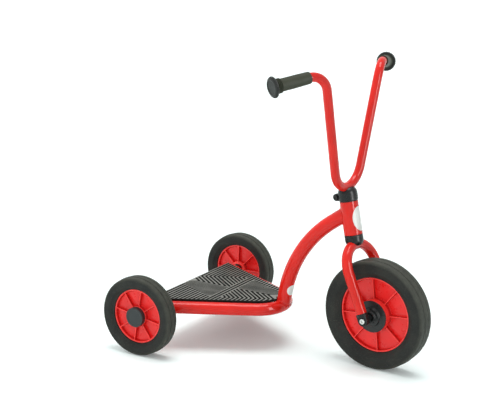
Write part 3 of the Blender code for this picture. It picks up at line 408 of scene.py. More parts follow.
def feed(tree, socket, value):
    """Give an input a value, or link it to the socket given as its value."""
    if isinstance(value, bpy.types.NodeSocket):
        tree.links.new(value, socket)
    else:
        socket.default_value = value


def node(tree, kind, settings=None, **inputs):
    """A node with its settings and its inputs; i0 and i1 name inputs by their number."""
    made = tree.nodes.new(kind)
    for key, value in (settings or {}).items():
        setattr(made, key, value)
    for key, value in inputs.items():
        numbered = key[0] == "i" and key[1:].isdigit()
        feed(tree, made.inputs[int(key[1:]) if numbered else key], value)
    return made


def coordinates(tree):
    """Position on the piece, in metres."""
    return node(tree, "ShaderNodeTexCoord").outputs["Object"]


def noise(tree, scale, detail, roughness=0.55):
    """Noise from 0 to 1 over the piece."""
    made = node(tree, "ShaderNodeTexNoise", None, Vector=coordinates(tree), Scale=scale,
                Detail=detail, Roughness=roughness)
    return made.outputs["Fac"]


def spread(tree, value, low, high, out_low, out_high):
    """The value mapped from one range to another."""
    made = node(tree, "ShaderNodeMapRange", None, Value=value)
    limits = {"From Min": low, "From Max": high, "To Min": out_low, "To Max": out_high}
    for key, number in limits.items():
        made.inputs[key].default_value = number
    return made.outputs["Result"]


def mottle(tree, pattern, low, high, share=(0.3, 0.7)):
    """Noise of the given (scale, detail, roughness), its middle share mapped to low and high."""
    return spread(tree, noise(tree, *pattern), *share, low, high)


def math_of(tree, operation, first, second=0.0):
    """One Math node."""
    return node(tree, "ShaderNodeMath", {"operation": operation}, i0=first, i1=second).outputs[0]


def plus(tree, first, second):
    """Sum of two values."""
    return math_of(tree, "ADD", first, second)


def times(tree, first, second):
    """Product of two values."""
    return math_of(tree, "MULTIPLY", first, second)


def dot(tree, vector, fixed):
    """Dot product of a vector and a fixed one."""
    settings = {"operation": "DOT_PRODUCT"}
    made = node(tree, "ShaderNodeVectorMath", settings, i0=vector, i1=tuple(fixed))
    return made.outputs["Value"]


def offset_from(tree, centre):
    """Position on the piece, measured from a point."""
    settings = {"operation": "SUBTRACT"}
    made = node(tree, "ShaderNodeVectorMath", settings, i0=coordinates(tree), i1=tuple(centre))
    return made.outputs[0]


def blend(tree, factor, first, second):
    """Colour from first to second as the factor goes from 0 to 1."""
    made = node(tree, "ShaderNodeMix", {"data_type": "RGBA"}, i0=factor)
    for index, colour in ((6, first), (7, second)):
        feed(tree, made.inputs[index], (*colour, 1) if isinstance(colour, tuple) else colour)
    return made.outputs[2]


def shade(colour, share):
    """The colour darkened or brightened by a share."""
    return tuple(part * share for part in colour)


def add_bump(tree, shader, height, strength, distance):
    """Bump from a height, on top of a bump that is there already."""
    bump = node(tree, "ShaderNodeBump", None, Height=height, Strength=strength, Distance=distance)
    links = shader.inputs["Normal"].links
    if links:
        tree.links.new(links[0].from_socket, bump.inputs["Normal"])
    tree.links.new(bump.outputs[0], shader.inputs["Normal"])


def paint(name, colour):
    """Glossy powder coat: faint orange peel, slight change of tone, fine dust."""
    material, tree, shader = new_material(name, colour, 0.2, 0.28)
    tone = mottle(tree, (14, 4), 0, 1, (0.35, 0.65))
    coat = blend(tree, tone, shade(colour, 0.86), colour)
    dust = mottle(tree, (420, 5, 0.7), 0, 0.10, (0.66, 0.82))
    feed(tree, shader.inputs["Base Color"], blend(tree, dust, coat, (0.62, 0.12, 0.10)))
    feed(tree, shader.inputs["Roughness"], mottle(tree, (60, 5, 0.6), 0.09, 0.17))
    add_bump(tree, shader, noise(tree, 380, 2, 0.5), 0.10, 0.0006)
    add_bump(tree, shader, noise(tree, 1600, 2, 0.5), 0.05, 0.0003)
    return material


def moulded(name, colour, roughness, dusty, specular=0.35, grain=1500, wheel=None):
    """Moulded plastic, rubber or film with a fine grain, faint flow marks and pale dust.

    A wheel has a centre, an axis and the half width of its rim: there the walls get painted shade,
    deeper in colour, and the tops of the ribs and lips get a painted highlight, brighter.
    """
    material, tree, shader = new_material(name, colour, roughness, specular)
    tone = mottle(tree, (22, 4), 0, 1, (0.35, 0.65))
    body = blend(tree, tone, shade(colour, 0.88), colour)
    if wheel is not None:
        centre, axis, edge = wheel
        painted_highlight_red = (0.92, 0.045, 0.038)
        foot = WEB_HALF + 0.0003
        height = math_of(tree, "ABSOLUTE", dot(tree, offset_from(tree, centre), axis))
        # painted shade: the walls of the ribs and barrel above the web are darkened
        painted_shade_on_walls = spread(tree, height, foot, foot + 0.0014, 0, 1)
        body = blend(tree, painted_shade_on_walls, body, shade(colour, 0.72))
        # painted highlight: the tops of the ribs and lips are made paler
        painted_highlight_on_tops = spread(tree, height, edge - 0.0022, edge - 0.0012, 0, 1)
        body = blend(tree, painted_highlight_on_tops, body, painted_highlight_red)
    dust = mottle(tree, (300, 6, 0.72), 0, 0.14, (0.62, 0.84))
    feed(tree, shader.inputs["Base Color"], blend(tree, dust, body, dusty))
    rough = mottle(tree, (90, 5, 0.6), roughness - 0.06, roughness + 0.08)
    feed(tree, shader.inputs["Roughness"], rough)
    add_bump(tree, shader, noise(tree, grain, 2, 0.5), 0.16, 0.0003)
    return material


def rim_plastic(name, centre, axis, half):
    """Red plastic of a wheel rim, with painted shade on its walls and a painted highlight on its
    rib tops.
    """
    wheel = (centre, axis, half)
    return moulded(name, (0.82, 0.014, 0.013), 0.30, (0.80, 0.16, 0.14), 0.4, wheel=wheel)


def tyre_rubber(name, centre, axis, tread):
    """Dull dusty rubber; the tread is worn paler and has fine lines round it."""
    dark = (0.010, 0.011, 0.011)
    worn = (0.056, 0.060, 0.046)
    roughness = 0.66
    line_pitch = 0.0042
    ring_pitch = 0.0031
    material, tree, shader = new_material(name, dark, roughness, 0.24)
    base = blend(tree, times(tree, mottle(tree, (30, 6, 0.65), 0, 1), 0.32), dark, worn)
    dust = mottle(tree, (460, 4, 0.8), 0, 0.42, (0.57, 0.68))
    base = blend(tree, dust, base, shade(worn, 1.8))

    def waves(value, pitch):
        return math_of(tree, "SINE", times(tree, value, 2 * math.pi / pitch))

    offset = offset_from(tree, centre)
    aside = dot(tree, offset, axis)
    length = node(tree, "ShaderNodeVectorMath", {"operation": "LENGTH"}, i0=offset)
    reach = length.outputs["Value"]
    square = math_of(tree, "SUBTRACT", times(tree, reach, reach), times(tree, aside, aside))
    radius = math_of(tree, "SQRT", square)
    on_tread = spread(tree, radius, tread - 0.0075, tread - 0.0020, 0, 1)
    patchy = times(tree, on_tread, mottle(tree, (75, 6, 0.7), 0.25, 1, (0.25, 0.75)))
    feed(tree, shader.inputs["Base Color"], blend(tree, patchy, base, worn))
    lines = times(tree, times(tree, waves(aside, line_pitch), on_tread), 0.6)
    marks = times(tree, waves(radius, ring_pitch), 0.10)
    grain = times(tree, noise(tree, 1300, 3, 0.6), 0.8)
    rough = mottle(tree, (120, 5, 0.6), roughness - 0.08, roughness + 0.10)
    feed(tree, shader.inputs["Roughness"], rough)
    add_bump(tree, shader, plus(tree, plus(tree, lines, marks), grain), 0.45, 0.0006)
    return material


def mat_rubber(name):
    """Ribbed mat: charcoal rubber, smoother and dusty on the ribs, painted shade in the grooves
    and a painted highlight on the rib tops.
    """
    rib_wall, rib_top = 0.11372, 0.11396
    # groove is the painted shade of the grooves, and worn is the painted highlight of the rib tops
    groove, worn, dusty = (0.003, 0.004, 0.003), (0.205, 0.210, 0.184), (0.26, 0.26, 0.23)
    material, tree, shader = new_material(name, (0.09, 0.095, 0.085), 0.5, 0.22)
    height = node(tree, "ShaderNodeSeparateXYZ", None, Vector=coordinates(tree)).outputs["Z"]
    raised = spread(tree, height, rib_wall, rib_top, 0, 1)
    top = times(tree, raised, mottle(tree, (24, 6, 0.65), 0.55, 1))
    # painted shade in the grooves, painted highlight on the rib tops
    base = blend(tree, top, groove, worn)
    dust = mottle(tree, (500, 6, 0.75), 0, 0.3, (0.60, 0.80))
    base = blend(tree, times(tree, dust, raised), base, dusty)
    feed(tree, shader.inputs["Base Color"], base)
    rough = mottle(tree, (160, 5, 0.6), 0.26, 0.40)
    rough = plus(tree, rough, spread(tree, raised, 0, 1, 0.55, 0))
    feed(tree, shader.inputs["Roughness"], rough)
    add_bump(tree, shader, noise(tree, 1500, 3, 0.6), 0.22, 0.0003)
    return material


def zinc(name):
    """Zinc-plated steel with fine turning marks and a mottled sheen."""
    material, tree, shader = new_material(name, (0.66, 0.66, 0.64), 0.3, metallic=1.0)
    tone = mottle(tree, (260, 5, 0.6), 0, 1)
    colour = blend(tree, tone, (0.52, 0.52, 0.50), (0.74, 0.74, 0.72))
    feed(tree, shader.inputs["Base Color"], colour)
    feed(tree, shader.inputs["Roughness"], mottle(tree, (700, 4, 0.6), 0.22, 0.42))
    add_bump(tree, shader, noise(tree, 2600, 2, 0.5), 0.2, 0.0002)
    return material


def make_materials():
    """All finishes by name, each a material and the material slot of the solids it stands for."""
    black = moulded("black_moulding", (0.009, 0.011, 0.011), 0.26, (0.08, 0.08, 0.08), 0.27)
    cap = moulded("black_cap", (0.030, 0.036, 0.037), 0.36, (0.12, 0.12, 0.12), 0.3)
    hub = moulded("black_hub", (0.014, 0.015, 0.015), 0.30, (0.12, 0.12, 0.12))
    plate = moulded("black_sheet_paint", (0.016, 0.017, 0.017), 0.42, (0.3, 0.3, 0.29))
    grip = moulded("grip_rubber", (0.024, 0.029, 0.013), 0.56, (0.09, 0.095, 0.06), 0.3, 900)
    flange_black = (0.012, 0.0135, 0.0115)
    flange = moulded("flange_rubber", flange_black, 0.46, (0.08, 0.085, 0.07), grain=1100)
    film = moulded("white_film", (0.80, 0.80, 0.77), 0.3, (0.70, 0.70, 0.66), grain=900)
    looks = {
        "paint": (paint("red_powder_coat", (0.69, 0.014, 0.008)), "red_paint"),
        "film": (film, "red_paint"),
        "black": (black, "black_plastic"),
        "cap": (cap, "black_plastic"),
        "hub": (hub, "black_plastic"),
        "plate": (plate, "black_paint"),
        "grip": (grip, "grip_rubber"),
        "flange": (flange, "grip_rubber"),
        "mat": (mat_rubber("mat_rubber"), "mat_rubber"),
        "zinc": (zinc("zinc_steel"), "zinc_steel"),
    }
    side_axis = Vector((0, 1, 0))
    front_axis = (STEERED.to_3x3() @ side_axis).normalized()
    wheels = [("front", "", STEERED @ AXLE, front_axis, FRONT_RADIUS, FRONT_RIM_HALF)]
    for side_name, side in SIDES:
        middle = Vector((-MIDDLE_X, side * TRACK / 2, REAR_RADIUS))
        wheels.append(("rear", "_" + side_name, middle, side_axis, REAR_RADIUS, REAR_RIM_HALF))
    for kind, ending, centre, axis, radius, half in wheels:
        key = kind + "_tyre" + ending
        looks[key] = (tyre_rubber(key + "_rubber", centre, axis, radius), "tyre_rubber")
        key = kind + "_rim" + ending
        looks[key] = (rim_plastic(key + "_plastic", centre, axis, half), "red_plastic")
    return looks


# The frame

def rail_path():
    """Centre line of the V-shaped deck rail, from the left arm round the nose to the right arm."""
    half_width = RAIL_APEX * math.tan(RAIL_ANGLE)
    corners = [(0, half_width), (RAIL_APEX, 0), (0, -half_width)]
    return bent_path([REAR @ Vector((*corner, RAIL_HEIGHT)) for corner in corners], [RAIL_BEND])


def main_path():
    """Centre line of the main tube."""
    foot = Vector(MAIN_FOOT)
    up = Vector((math.cos(MAIN_FOOT_ANGLE), 0, math.sin(MAIN_FOOT_ANGLE)))
    forward = Vector((math.cos(MAIN_TOP_ANGLE), 0, math.sin(MAIN_TOP_ANGLE)))
    tangent = MAIN_BEND * math.tan((MAIN_FOOT_ANGLE - MAIN_TOP_ANGLE) / 2)
    corner = foot + up * (MAIN_STRAIGHT + tangent)
    end = corner + forward * (tangent + MAIN_END)
    return bent_path([REAR @ foot, REAR @ corner, REAR @ end], [MAIN_BEND], math.radians(1.5))


def meet(start, heading, inside, reach, halvings=24):
    """First point along the heading that lies inside the other body, or the end of the reach."""
    low, high = 0.0, reach
    if not inside(start + heading * reach):
        return start + heading * reach
    for _ in range(halvings):
        middle = (low + high) / 2
        if inside(start + heading * middle):
            high = middle
        else:
            low = middle
    return start + heading * high


def ring_about(spot, heading, radius, count):
    """Points on a circle about the spot, square to the heading."""
    across = heading.orthogonal().normalized()
    return ring_points(spot, across, heading.cross(across), radius, count)


def make_frame(looks):
    """Rail, main tube, head tube and axle tube with their weld beads."""
    red = looks["paint"]
    rail = rail_path()
    main = main_path()
    add("rail_tube", tube(rail, *RAIL_TUBE), red, "frame", ["deck_rail"])
    add("arched_tube", tube(main, *MAIN_TUBE, 48), red, "frame", ["main_tube"])
    head = sleeve(HEAD_BORE, HEAD_RADIUS, HEAD_BOTTOM, HEAD_TOP, 0.0006, 96)
    add("steering_head", head, red, "frame", ["head_tube"], HEAD)
    radius, bore = AXLE_TUBE
    axle_tube = sleeve(bore, radius, -AXLE_TUBE_HALF, AXLE_TUBE_HALF, 0.0005, 48)
    axle_place = REAR @ Matrix.Translation((0, 0, REAR_RADIUS)) @ ACROSS
    add("axle_sleeve", axle_tube, red, "frame", ["rear_axle_tube"], axle_place)

    head_foot = HEAD.translation
    head_axis = (HEAD.to_3x3() @ Vector((0, 0, 1))).normalized()

    def in_head(spot):
        offset = spot - head_foot
        return (offset - head_axis * offset.dot(head_axis)).length < HEAD_RADIUS + WELD_LIFT

    back, weld_radius = 0.06, 0.0016
    end, forward = main[-1]
    flat = forward - head_axis * forward.dot(head_axis)
    reach = (head_foot - end).dot(flat) / flat.dot(flat) + back
    ring = ring_about(end - forward * back, forward, MAIN_TUBE[0], 160)
    weld = bead([meet(spot, forward, in_head, reach) for spot in ring], weld_radius)
    add("head_weld", weld, red, "frame")

    line = bent_path([point for point, _ in rail], [0.001] * (len(rail) - 2), 1, 0.002)

    def in_rail(spot):
        return min((spot - point).length for point, _ in line) < RAIL_TUBE[0] + WELD_LIFT

    above, below, weld_radius = 0.03, 0.0012, 0.0017
    foot, up = main[0]
    ring = ring_about(foot + up * above, up, MAIN_TUBE[0], 120)
    weld = bead([meet(spot, -up, in_rail, above + below) for spot in ring], weld_radius, 34)
    add("foot_weld", weld, red, "frame")


def make_deck(looks):
    """Deck mat with rounded ribs, and the plate, from the solids' own outlines."""
    for name, node_name, look, width in (
            ("ribbed_mat", "deck_mat", "mat", 0.0009),
            ("deck_sheet", "deck_plate", "plate", 0.0005)):
        solid = bmesh.new()
        solid.from_mesh(frame["nodes"][node_name].data)
        softened(solid, width, look != "mat")
        add(name, solid, looks[look], "frame", [node_name], sharp=50)


# Wheels

def tyre_profile(radius, half, rim_radius, rim_half):
    """Profile of a solid tyre with rounded shoulders, a dip beside the rim and two grooves."""
    wall = radius - rim_radius
    side = [(rim_radius + 0.0003, rim_half - 0.0005), (rim_radius + 0.0010, rim_half + 0.0022)]
    side += [(rim_radius + 0.0040, rim_half + 0.0034), (rim_radius + 0.30 * wall, half - 0.0012)]
    side += [(rim_radius + 0.42 * wall, half - 0.0001), (radius - 0.0072, half)]
    for step in range(9):
        angle = math.radians(90 * step / 8)
        reach = radius - 0.0012 - 0.0058 * (1 - math.sin(angle))
        side.append((reach, half - 0.0052 * (1 - math.cos(angle))))
    groove = half * 0.34
    side += [(radius - 0.0006, groove + 0.0009), (radius - 0.0018, groove + 0.0005)]
    side += [(radius - 0.0018, groove - 0.0005), (radius - 0.0004, groove - 0.0009)]
    return mirrored(side, [(radius, 0)])


def rib(inner, outer, height, inner_depth):
    """One radial rib: a drafted plate with rounded edges, wider where it meets the web."""
    top = RIB_THICKNESS * 0.36
    root = RIB_THICKNESS * 0.62
    rounding, sharp = 0.0006, 50
    corners = [(inner, -inner_depth, top), (outer, -height, top), (outer, 0, root)]
    corners += [(outer, height, top), (inner, height, top), (inner, 0, root)]
    solid = bmesh.new()
    sides = []
    for sign in (-1, 1):
        sides.append([solid.verts.new((x, sign * half, z)) for x, z, half in corners])
    bridge(solid, *sides)
    ends = [solid.faces.new(side) for side in sides]
    bmesh.ops.triangulate(solid, faces=ends)
    bmesh.ops.recalc_face_normals(solid, faces=solid.faces)
    bevel(solid, rounding, sharp)
    return solid


def add_ribs(rim, phase, *sizes):
    """Copy the rib round a rim's solid."""
    for index in range(RIBS):
        part = rib(*sizes)
        part.transform(Matrix.Rotation(phase + 2 * math.pi * index / RIBS, 4, "Z"))
        mesh = bpy.data.meshes.new("rib")
        part.to_mesh(mesh)
        part.free()
        rim.from_mesh(mesh)
        bpy.data.meshes.remove(mesh)
    return rim


def front_rim():
    """Front rim: boss, thin web, barrel with a lip on each side, and ribs."""
    radius = FRONT_RADIUS * RIM_SHARE
    lip = radius - RIM_WALL
    boss_half = 0.0217
    half = [(0.0068, 0.0144), (0.0113, 0.0144), (0.0113, boss_half), (0.0340, boss_half)]
    half += [(0.0362, WEB_HALF), (lip - 0.0022, WEB_HALF)]
    half += [(lip, FRONT_RIM_HALF), (radius, FRONT_RIM_HALF)]
    rim = lathe(rounded(mirrored(half), 0.0009, 3), 144)
    phase = math.radians(-5.8)
    rib_start = 0.0312
    height = FRONT_RIM_HALF - RIB_DROP
    return add_ribs(rim, phase, rib_start, radius - RIB_INSET, height, height)


def rear_rim(phase):
    """Rear rim: boss with bearing seats, thin web, barrel with a lip on each side, and ribs."""
    radius = REAR_RADIUS * RIM_SHARE
    lip = radius - RIM_WALL
    seat = 0.0133
    boss = 0.0188
    profile = [(0.0085, 0.0044), (seat, 0.0044), (seat, 0.0127), (boss, 0.0127), (boss, 0.0095)]
    profile += [(0.0220, 0.0095), (0.0242, WEB_HALF), (lip - 0.0022, WEB_HALF)]
    profile += [(lip, REAR_RIM_HALF), (radius, REAR_RIM_HALF)]
    profile += [(radius, -REAR_RIM_HALF), (lip, -REAR_RIM_HALF)]
    profile += [(lip - 0.0022, -WEB_HALF), (0.0210, -WEB_HALF), (boss, -0.0130), (seat, -0.0130)]
    profile += [(seat, -0.0047), (0.0085, -0.0047)]
    rim = lathe(rounded(profile, 0.0008, 3), 144)
    rib_start, inner_depth = 0.0160, 0.0120
    height = REAR_RIM_HALF - RIB_DROP
    return add_ribs(rim, phase, rib_start, radius - RIB_INSET, height, inner_depth)


def make_rear_wheel(side_name, phase, looks):
    """Tyre, rim and cap of one rear wheel."""
    side = 1 if side_name == "left" else -1
    outward = Matrix.Rotation(math.radians(-90 * side), 4, "X")
    place = REAR @ Matrix.Translation((0, side * TRACK / 2, REAR_RADIUS)) @ outward
    body = "rear_wheel_" + side_name
    profile = tyre_profile(REAR_RADIUS, REAR_TYRE_HALF, REAR_RADIUS * RIM_SHARE, REAR_RIM_HALF)
    key = "rear_tyre_" + side_name
    add(side_name + "_rear_tyre", lathe(profile, 180), looks[key], body, [key], place)
    key = "rear_rim_" + side_name
    rim = rear_rim(math.radians(phase) * -side)
    add(side_name + "_rear_rim", rim, looks[key], body, [key], place)
    cap = [(0.0197, 0.0098), (0.0220, 0.0098), (0.0220, 0.0210), (0.0172, 0.0210)]
    cap += [(0.0166, 0.0206), (0, 0.0206), (0, 0.0190), (0.0197, 0.0190)]
    cap = lathe(rounded(cap, 0.0010), 96)
    add(side_name + "_rear_cap", cap, looks["cap"], body, ["rear_hub_cap_" + side_name], place)


def make_front_wheel(looks):
    """Tyre, rim and hub caps of the front wheel."""
    level = Matrix.Rotation(RAKE, 4, "Y") @ ACROSS
    place = STEERED @ Matrix.Translation(AXLE) @ level
    body = "front_wheel"
    rim_radius = FRONT_RADIUS * RIM_SHARE
    tyre = lathe(tyre_profile(FRONT_RADIUS, FRONT_TYRE_HALF, rim_radius, FRONT_RIM_HALF), 220)
    add("steered_tyre", tyre, looks["front_tyre"], body, ["front_tyre"], place)
    add("steered_rim", front_rim(), looks["front_rim"], body, ["front_rim"], place)
    profile = [(0.0094, 0.0220), (0.0350, 0.0220), (0.0350, 0.0250), (0.0215, 0.0250)]
    profile += [(0.0200, 0.0295), (0.0136, 0.0295), (0.0125, 0.0335), (0.0094, 0.0335)]
    for side_name, side in SIDES:
        flipped = place @ Matrix.Rotation(math.radians(90 - 90 * side), 4, "X")
        cap = lathe(rounded(profile, 0.0009), 96)
        node_name = "front_hub_cap_" + side_name
        add("stepped_cap_" + side_name, cap, looks["hub"], body, [node_name], flipped)


# Fork and handlebar, in steering coordinates

def fork_path():
    """Centre line of the fork."""
    apex = Vector((0, 0, FORK_APEX))
    down = (AXLE - apex).normalized()
    foot = apex + down * ((AXLE - apex).length - FORK_CUT)
    sideways = Vector((0, FORK_HALF, 0))
    corners = [foot + sideways, apex + sideways, apex - sideways, foot - sideways]
    return bent_path(corners, [FORK_BEND] * 2)


def make_fork(looks):
    """Fork tube, its moulded ends, crown cover, axle bolt, nut and spacers."""
    black = looks["black"]
    body = "front_fork"
    path = fork_path()
    add("bent_fork", tube(path, *FORK_TUBE), looks["paint"], body, ["fork"], STEERED)

    profile = [(0, 0.1440)] + dome((0.0090, 0.1440), (0.0200, 0.1568))
    profile += [(0.0200, 0.1678), (0.0195, 0.1683), (0.0133, 0.1683), (0.0133, 0.1507), (0, 0.1507)]
    crown = shaped(lathe(profile, 96), [(bar(path, 0.0114), "DIFFERENCE")])
    add("crown_saddle", crown, black, body, ["crown_cover"], STEERED)

    up = (Vector((0, 0, FORK_APEX)) - AXLE).normalized()
    forward = Vector((0, 1, 0)).cross(up)
    axes = Matrix((up, forward, up.cross(forward))).transposed().to_4x4()
    for side_name, side in SIDES:
        middle = AXLE + Vector((0, side * FORK_HALF, 0))
        recess = rod(RECESS_RADIUS, EYE_FLOOR, 0.02, 48)
        recess.transform(Matrix.Rotation(math.radians(90 - 90 * side), 4, "X"))
        eye = prism(stadium(EYE_LENGTH, EYE_RADIUS), -EYE_HALF, EYE_HALF)
        eye = softened(shaped(eye, [(recess, "DIFFERENCE")]), 0.0012)
        place = STEERED @ Matrix.Translation(middle) @ axes
        add("fork_eye_" + side_name, eye, black, body, ["fork_end_" + side_name], place)
        plug = [(0, 0.0100), (0.0109, 0.0100), (0.01125, 0.0161), (0.0088, 0.0161)]
        plug = lathe(rounded(plug + [(0.0088, 0.0230), (0, 0.0230)], 0.0007), 48)
        place = STEERED @ along(middle, middle + up)
        add("fork_plug_" + side_name, plug, black, body, (), place)

    across = STEERED @ Matrix.Translation(AXLE) @ ACROSS
    seat = FORK_HALF + EYE_FLOOR + GAP
    head = seat + BOLT_HEAD
    bolt = [(0, -head), (0.0058, -head), (0.0058, -seat), (0.0040, -seat)]
    bolt += [(0.0040, seat), (0, seat)]
    socket = rod(0.0029, -head - 0.01, -head + 0.0026, 6)
    bolt = shaped(lathe(rounded(bolt, 0.0009), 64), [(socket, "DIFFERENCE")])
    add("axle_bolt", bolt, looks["zinc"], body, ["front_axle_bolt"], across)
    nut = sleeve(0, 0.0065, seat, head, 0.0009, 64)
    add("axle_cap_nut", nut, looks["zinc"], body, ["front_axle_nut"], across)
    radius, bore = SPACER
    for side_name, side in SIDES:
        low, high = sorted(side * end for end in SPACER_ENDS)
        spacer = sleeve(bore, radius, low, high, 0.0005, 48)
        add("axle_spacer_" + side_name, spacer, black, body, ["front_spacer_" + side_name], across)


def to_steering(point, side=1):
    """A point of the frame's left half, or its mirror image, in steering coordinates."""
    return STRAIGHT.inverted() @ Vector((point[0], point[1] * side, point[2]))


def bar_path():
    """Centre line of the handlebar."""
    inward = (Vector(SHOULDER) - Vector(GRIP_END)).normalized()
    end = Vector(GRIP_END) + inward * 0.0040
    corners = [to_steering(end), to_steering(SHOULDER), to_steering(BAR_FOOT)]
    corners += [to_steering(SHOULDER, -1), to_steering(end, -1)]
    return bent_path(corners, BAR_BENDS)


def scalloped(limit):
    """A function that cuts fine scallops where the radius is over the limit."""
    def reach(radius, angle):
        if radius > limit:
            return radius - SCALLOP_DEPTH * (1 - math.cos(angle * SCALLOPS))
        return radius

    return reach


def grip_solid():
    """Grip sleeve with a band of knurled rings next to its flange."""
    end = GRIP_LENGTH
    valley = 0.0136
    crest = 0.0154
    profile = [(0.0101, 0), (0.0122, 0), (0.0126, 0.003), (0.0131, end * 0.3)]
    profile += [(0.0132, end * 0.55), (0.0132, end - 0.0250)]
    for index in range(4):
        low = end - 0.0206 + index * 0.0033
        profile += [(valley, low), (crest, low + 0.0007)]
        profile += [(crest, low + 0.0022), (valley, low + 0.0029)]
    profile += [(0.0150, end - 0.0072), (0, end - 0.0072)]
    profile += [(0, end - 0.0090), (0.0101, end - 0.0090)]
    return lathe(rounded(profile, 0.0005, 3), 216, scalloped(0.0145))


def flange_solid():
    """Flange at the grip's end, with a scalloped edge and a shallow round in its face."""
    end = GRIP_LENGTH
    profile = [(0, end - 0.0070), (0.0204, end - 0.0070), (0.0220, end - 0.0058)]
    profile += [(0.0220, end - 0.0040), (0.0208, end - 0.0020), (0.0184, end - 0.0006)]
    profile += [(0.0158, end), (0.0146, end), (0.0136, end - 0.0010), (0, end - 0.0010)]
    return lathe(rounded(profile, 0.0007, 3), 216, scalloped(0.0194))


def make_handlebar(looks):
    """Handlebar with its grips, and the clamp collar with its bolt."""
    body = "front_fork"
    path = bar_path()
    add("bent_handlebar", tube(path, *BAR_TUBE), looks["paint"], body, ["handlebar"], STEERED)
    for side_name, side in SIDES:
        end = to_steering(GRIP_END, side)
        start = end + (to_steering(SHOULDER, side) - end).normalized() * GRIP_LENGTH
        place = STEERED @ along(start, end)
        grip = grip_solid()
        add("knurled_grip_" + side_name, grip, looks["grip"], body, ["grip_" + side_name], place)
        add("grip_flange_" + side_name, flange_solid(), looks["flange"], body, (), place)

    profile = [(0.0133, 0.2439), (0.0205, 0.2439), (0.0210, 0.2444)]
    profile += dome((0.0109, 0.2718), (0.0210, 0.2570))[::-1]
    profile += [(0.0109, 0.2579), (0.0133, 0.2579)]
    lug_half = 0.0110
    lug_radius = 0.0078
    lug_place = (-0.0235, 0, 0.2520)
    across = Matrix.Translation(lug_place) @ Matrix.Rotation(math.radians(90), 4, "X")
    lug = prism(stadium(lug_radius, lug_radius), -lug_half, lug_half)
    lug.transform(across)
    slit_end, slit_half = -0.041, 0.0012
    slit = [(slit_end, -slit_half), (0, -slit_half), (0, slit_half), (slit_end, slit_half)]
    slit = prism(slit, 0.2339, 0.2818)
    bore, recess, past = 0.0031, 0.0062, 0.021
    hole = [(0, -past), (recess, -past), (recess, -lug_half), (bore, -lug_half)]
    hole += [(bore, lug_half), (recess, lug_half), (recess, past), (0, past)]
    hole = lathe(hole, 48)
    hole.transform(across)
    changes = [(lug, "UNION"), (bar(path, 0.0100), "DIFFERENCE")]
    changes += [(slit, "DIFFERENCE"), (hole, "DIFFERENCE")]
    collar = shaped(lathe(profile, 96), changes)
    add("split_collar", collar, looks["black"], body, ["clamp_collar"], STEERED)

    seat = lug_half + GAP
    head = seat + BOLT_HEAD
    end = -seat - 0.0046
    bolt = [(0, end), (0.0028, end), (0.0028, seat), (0.0050, seat), (0.0050, head), (0, head)]
    socket = rod(0.0025, head - 0.0020, head + 0.01, 6)
    bolt = shaped(lathe(rounded(bolt, 0.0007), 48), [(socket, "DIFFERENCE")])
    add("collar_bolt", bolt, looks["plate"], body, ["clamp_bolt"], STEERED @ across)


# Films

def patch(width, height, sides, reach, lay, steps=12):
    """Thin oval film; lay(angle, climb, radius) gives the point of the tube's skin."""
    film = bmesh.new()
    skins = []
    for radius in (reach, reach + FILM_THICKNESS):
        rings = []
        for step in range(1, steps + 1):
            ring = []
            for side in range(sides):
                turn = 2 * math.pi * side / sides
                angle = width * step / steps * math.cos(turn)
                climb = height * step / steps * math.sin(turn)
                ring.append(film.verts.new(lay(angle, climb, radius)))
            rings.append(ring)
        centre = film.verts.new(lay(0, 0, radius))
        for side in range(sides):
            film.faces.new((centre, rings[0][side], rings[0][(side + 1) % sides]))
        for ring, following in zip(rings, rings[1:]):
            bridge(film, ring, following)
        skins.append(rings[-1])
    bridge(film, *skins)
    return film


def make_films(looks):
    """Plain films where the photographed scooter has its stickers."""
    oval_height = 0.2030

    def on_head(angle, climb, radius):
        spot = (radius * math.cos(angle), radius * math.sin(angle), oval_height + climb)
        return Vector(spot)

    oval = patch(math.radians(54), 0.0265, 96, HEAD_RADIUS + FILM_LIFT, on_head)
    add("plain_oval_film", oval, looks["film"], "frame", (), HEAD)

    foot, up = main_path()[0]
    ahead = Vector((up.z, 0, -up.x))
    middle_height = 0.0392
    towards_right = math.radians(9)

    def on_tube(angle, climb, radius):
        turn = max(0, (middle_height + climb - MAIN_STRAIGHT) / MAIN_BEND)
        outward = ahead * math.cos(turn) - up * math.sin(turn)
        straight = foot + up * min(middle_height + climb, MAIN_STRAIGHT)
        middle = straight + (ahead - outward) * MAIN_BEND
        around = angle + towards_right
        return middle + (outward * math.cos(around) - Vector((0, math.sin(around), 0))) * radius

    disc = patch(math.radians(46), 0.0130, 72, MAIN_TUBE[0] + FILM_LIFT, on_tube)
    add("plain_round_film", disc, looks["film"], "frame")


def dress_nodes(looks):
    """Materials for the CAD nodes that stay as they are."""
    slots = {part["node"]: part["material_slot"] for part in frame["record"]["subparts"]}
    by_slot = {
        "red_paint": "paint", "red_plastic": "front_rim", "black_plastic": "black",
        "black_paint": "plate", "grip_rubber": "grip", "mat_rubber": "mat", "zinc_steel": "zinc",
        "tyre_rubber": "front_tyre",
    }
    painted = {"axle_bush_left", "axle_bush_right", "rear_spacer_left", "rear_spacer_right"}
    sealed = {"rear_bearing_inner_left", "rear_bearing_inner_right"}
    for name, thing in frame["nodes"].items():
        for slot in thing.material_slots:
            look = "paint" if name in painted else "hub" if name in sealed else by_slot[slots[name]]
            slot.material = looks[look][0]


# Stage

def seen_directly(tree):
    """1 for camera, glossy and transmission rays, and 0 for the rest."""
    rays = node(tree, "ShaderNodeLightPath").outputs
    seen = math_of(tree, "MAXIMUM", rays["Is Camera Ray"], rays["Is Glossy Ray"])
    return math_of(tree, "MAXIMUM", seen, rays["Is Transmission Ray"])


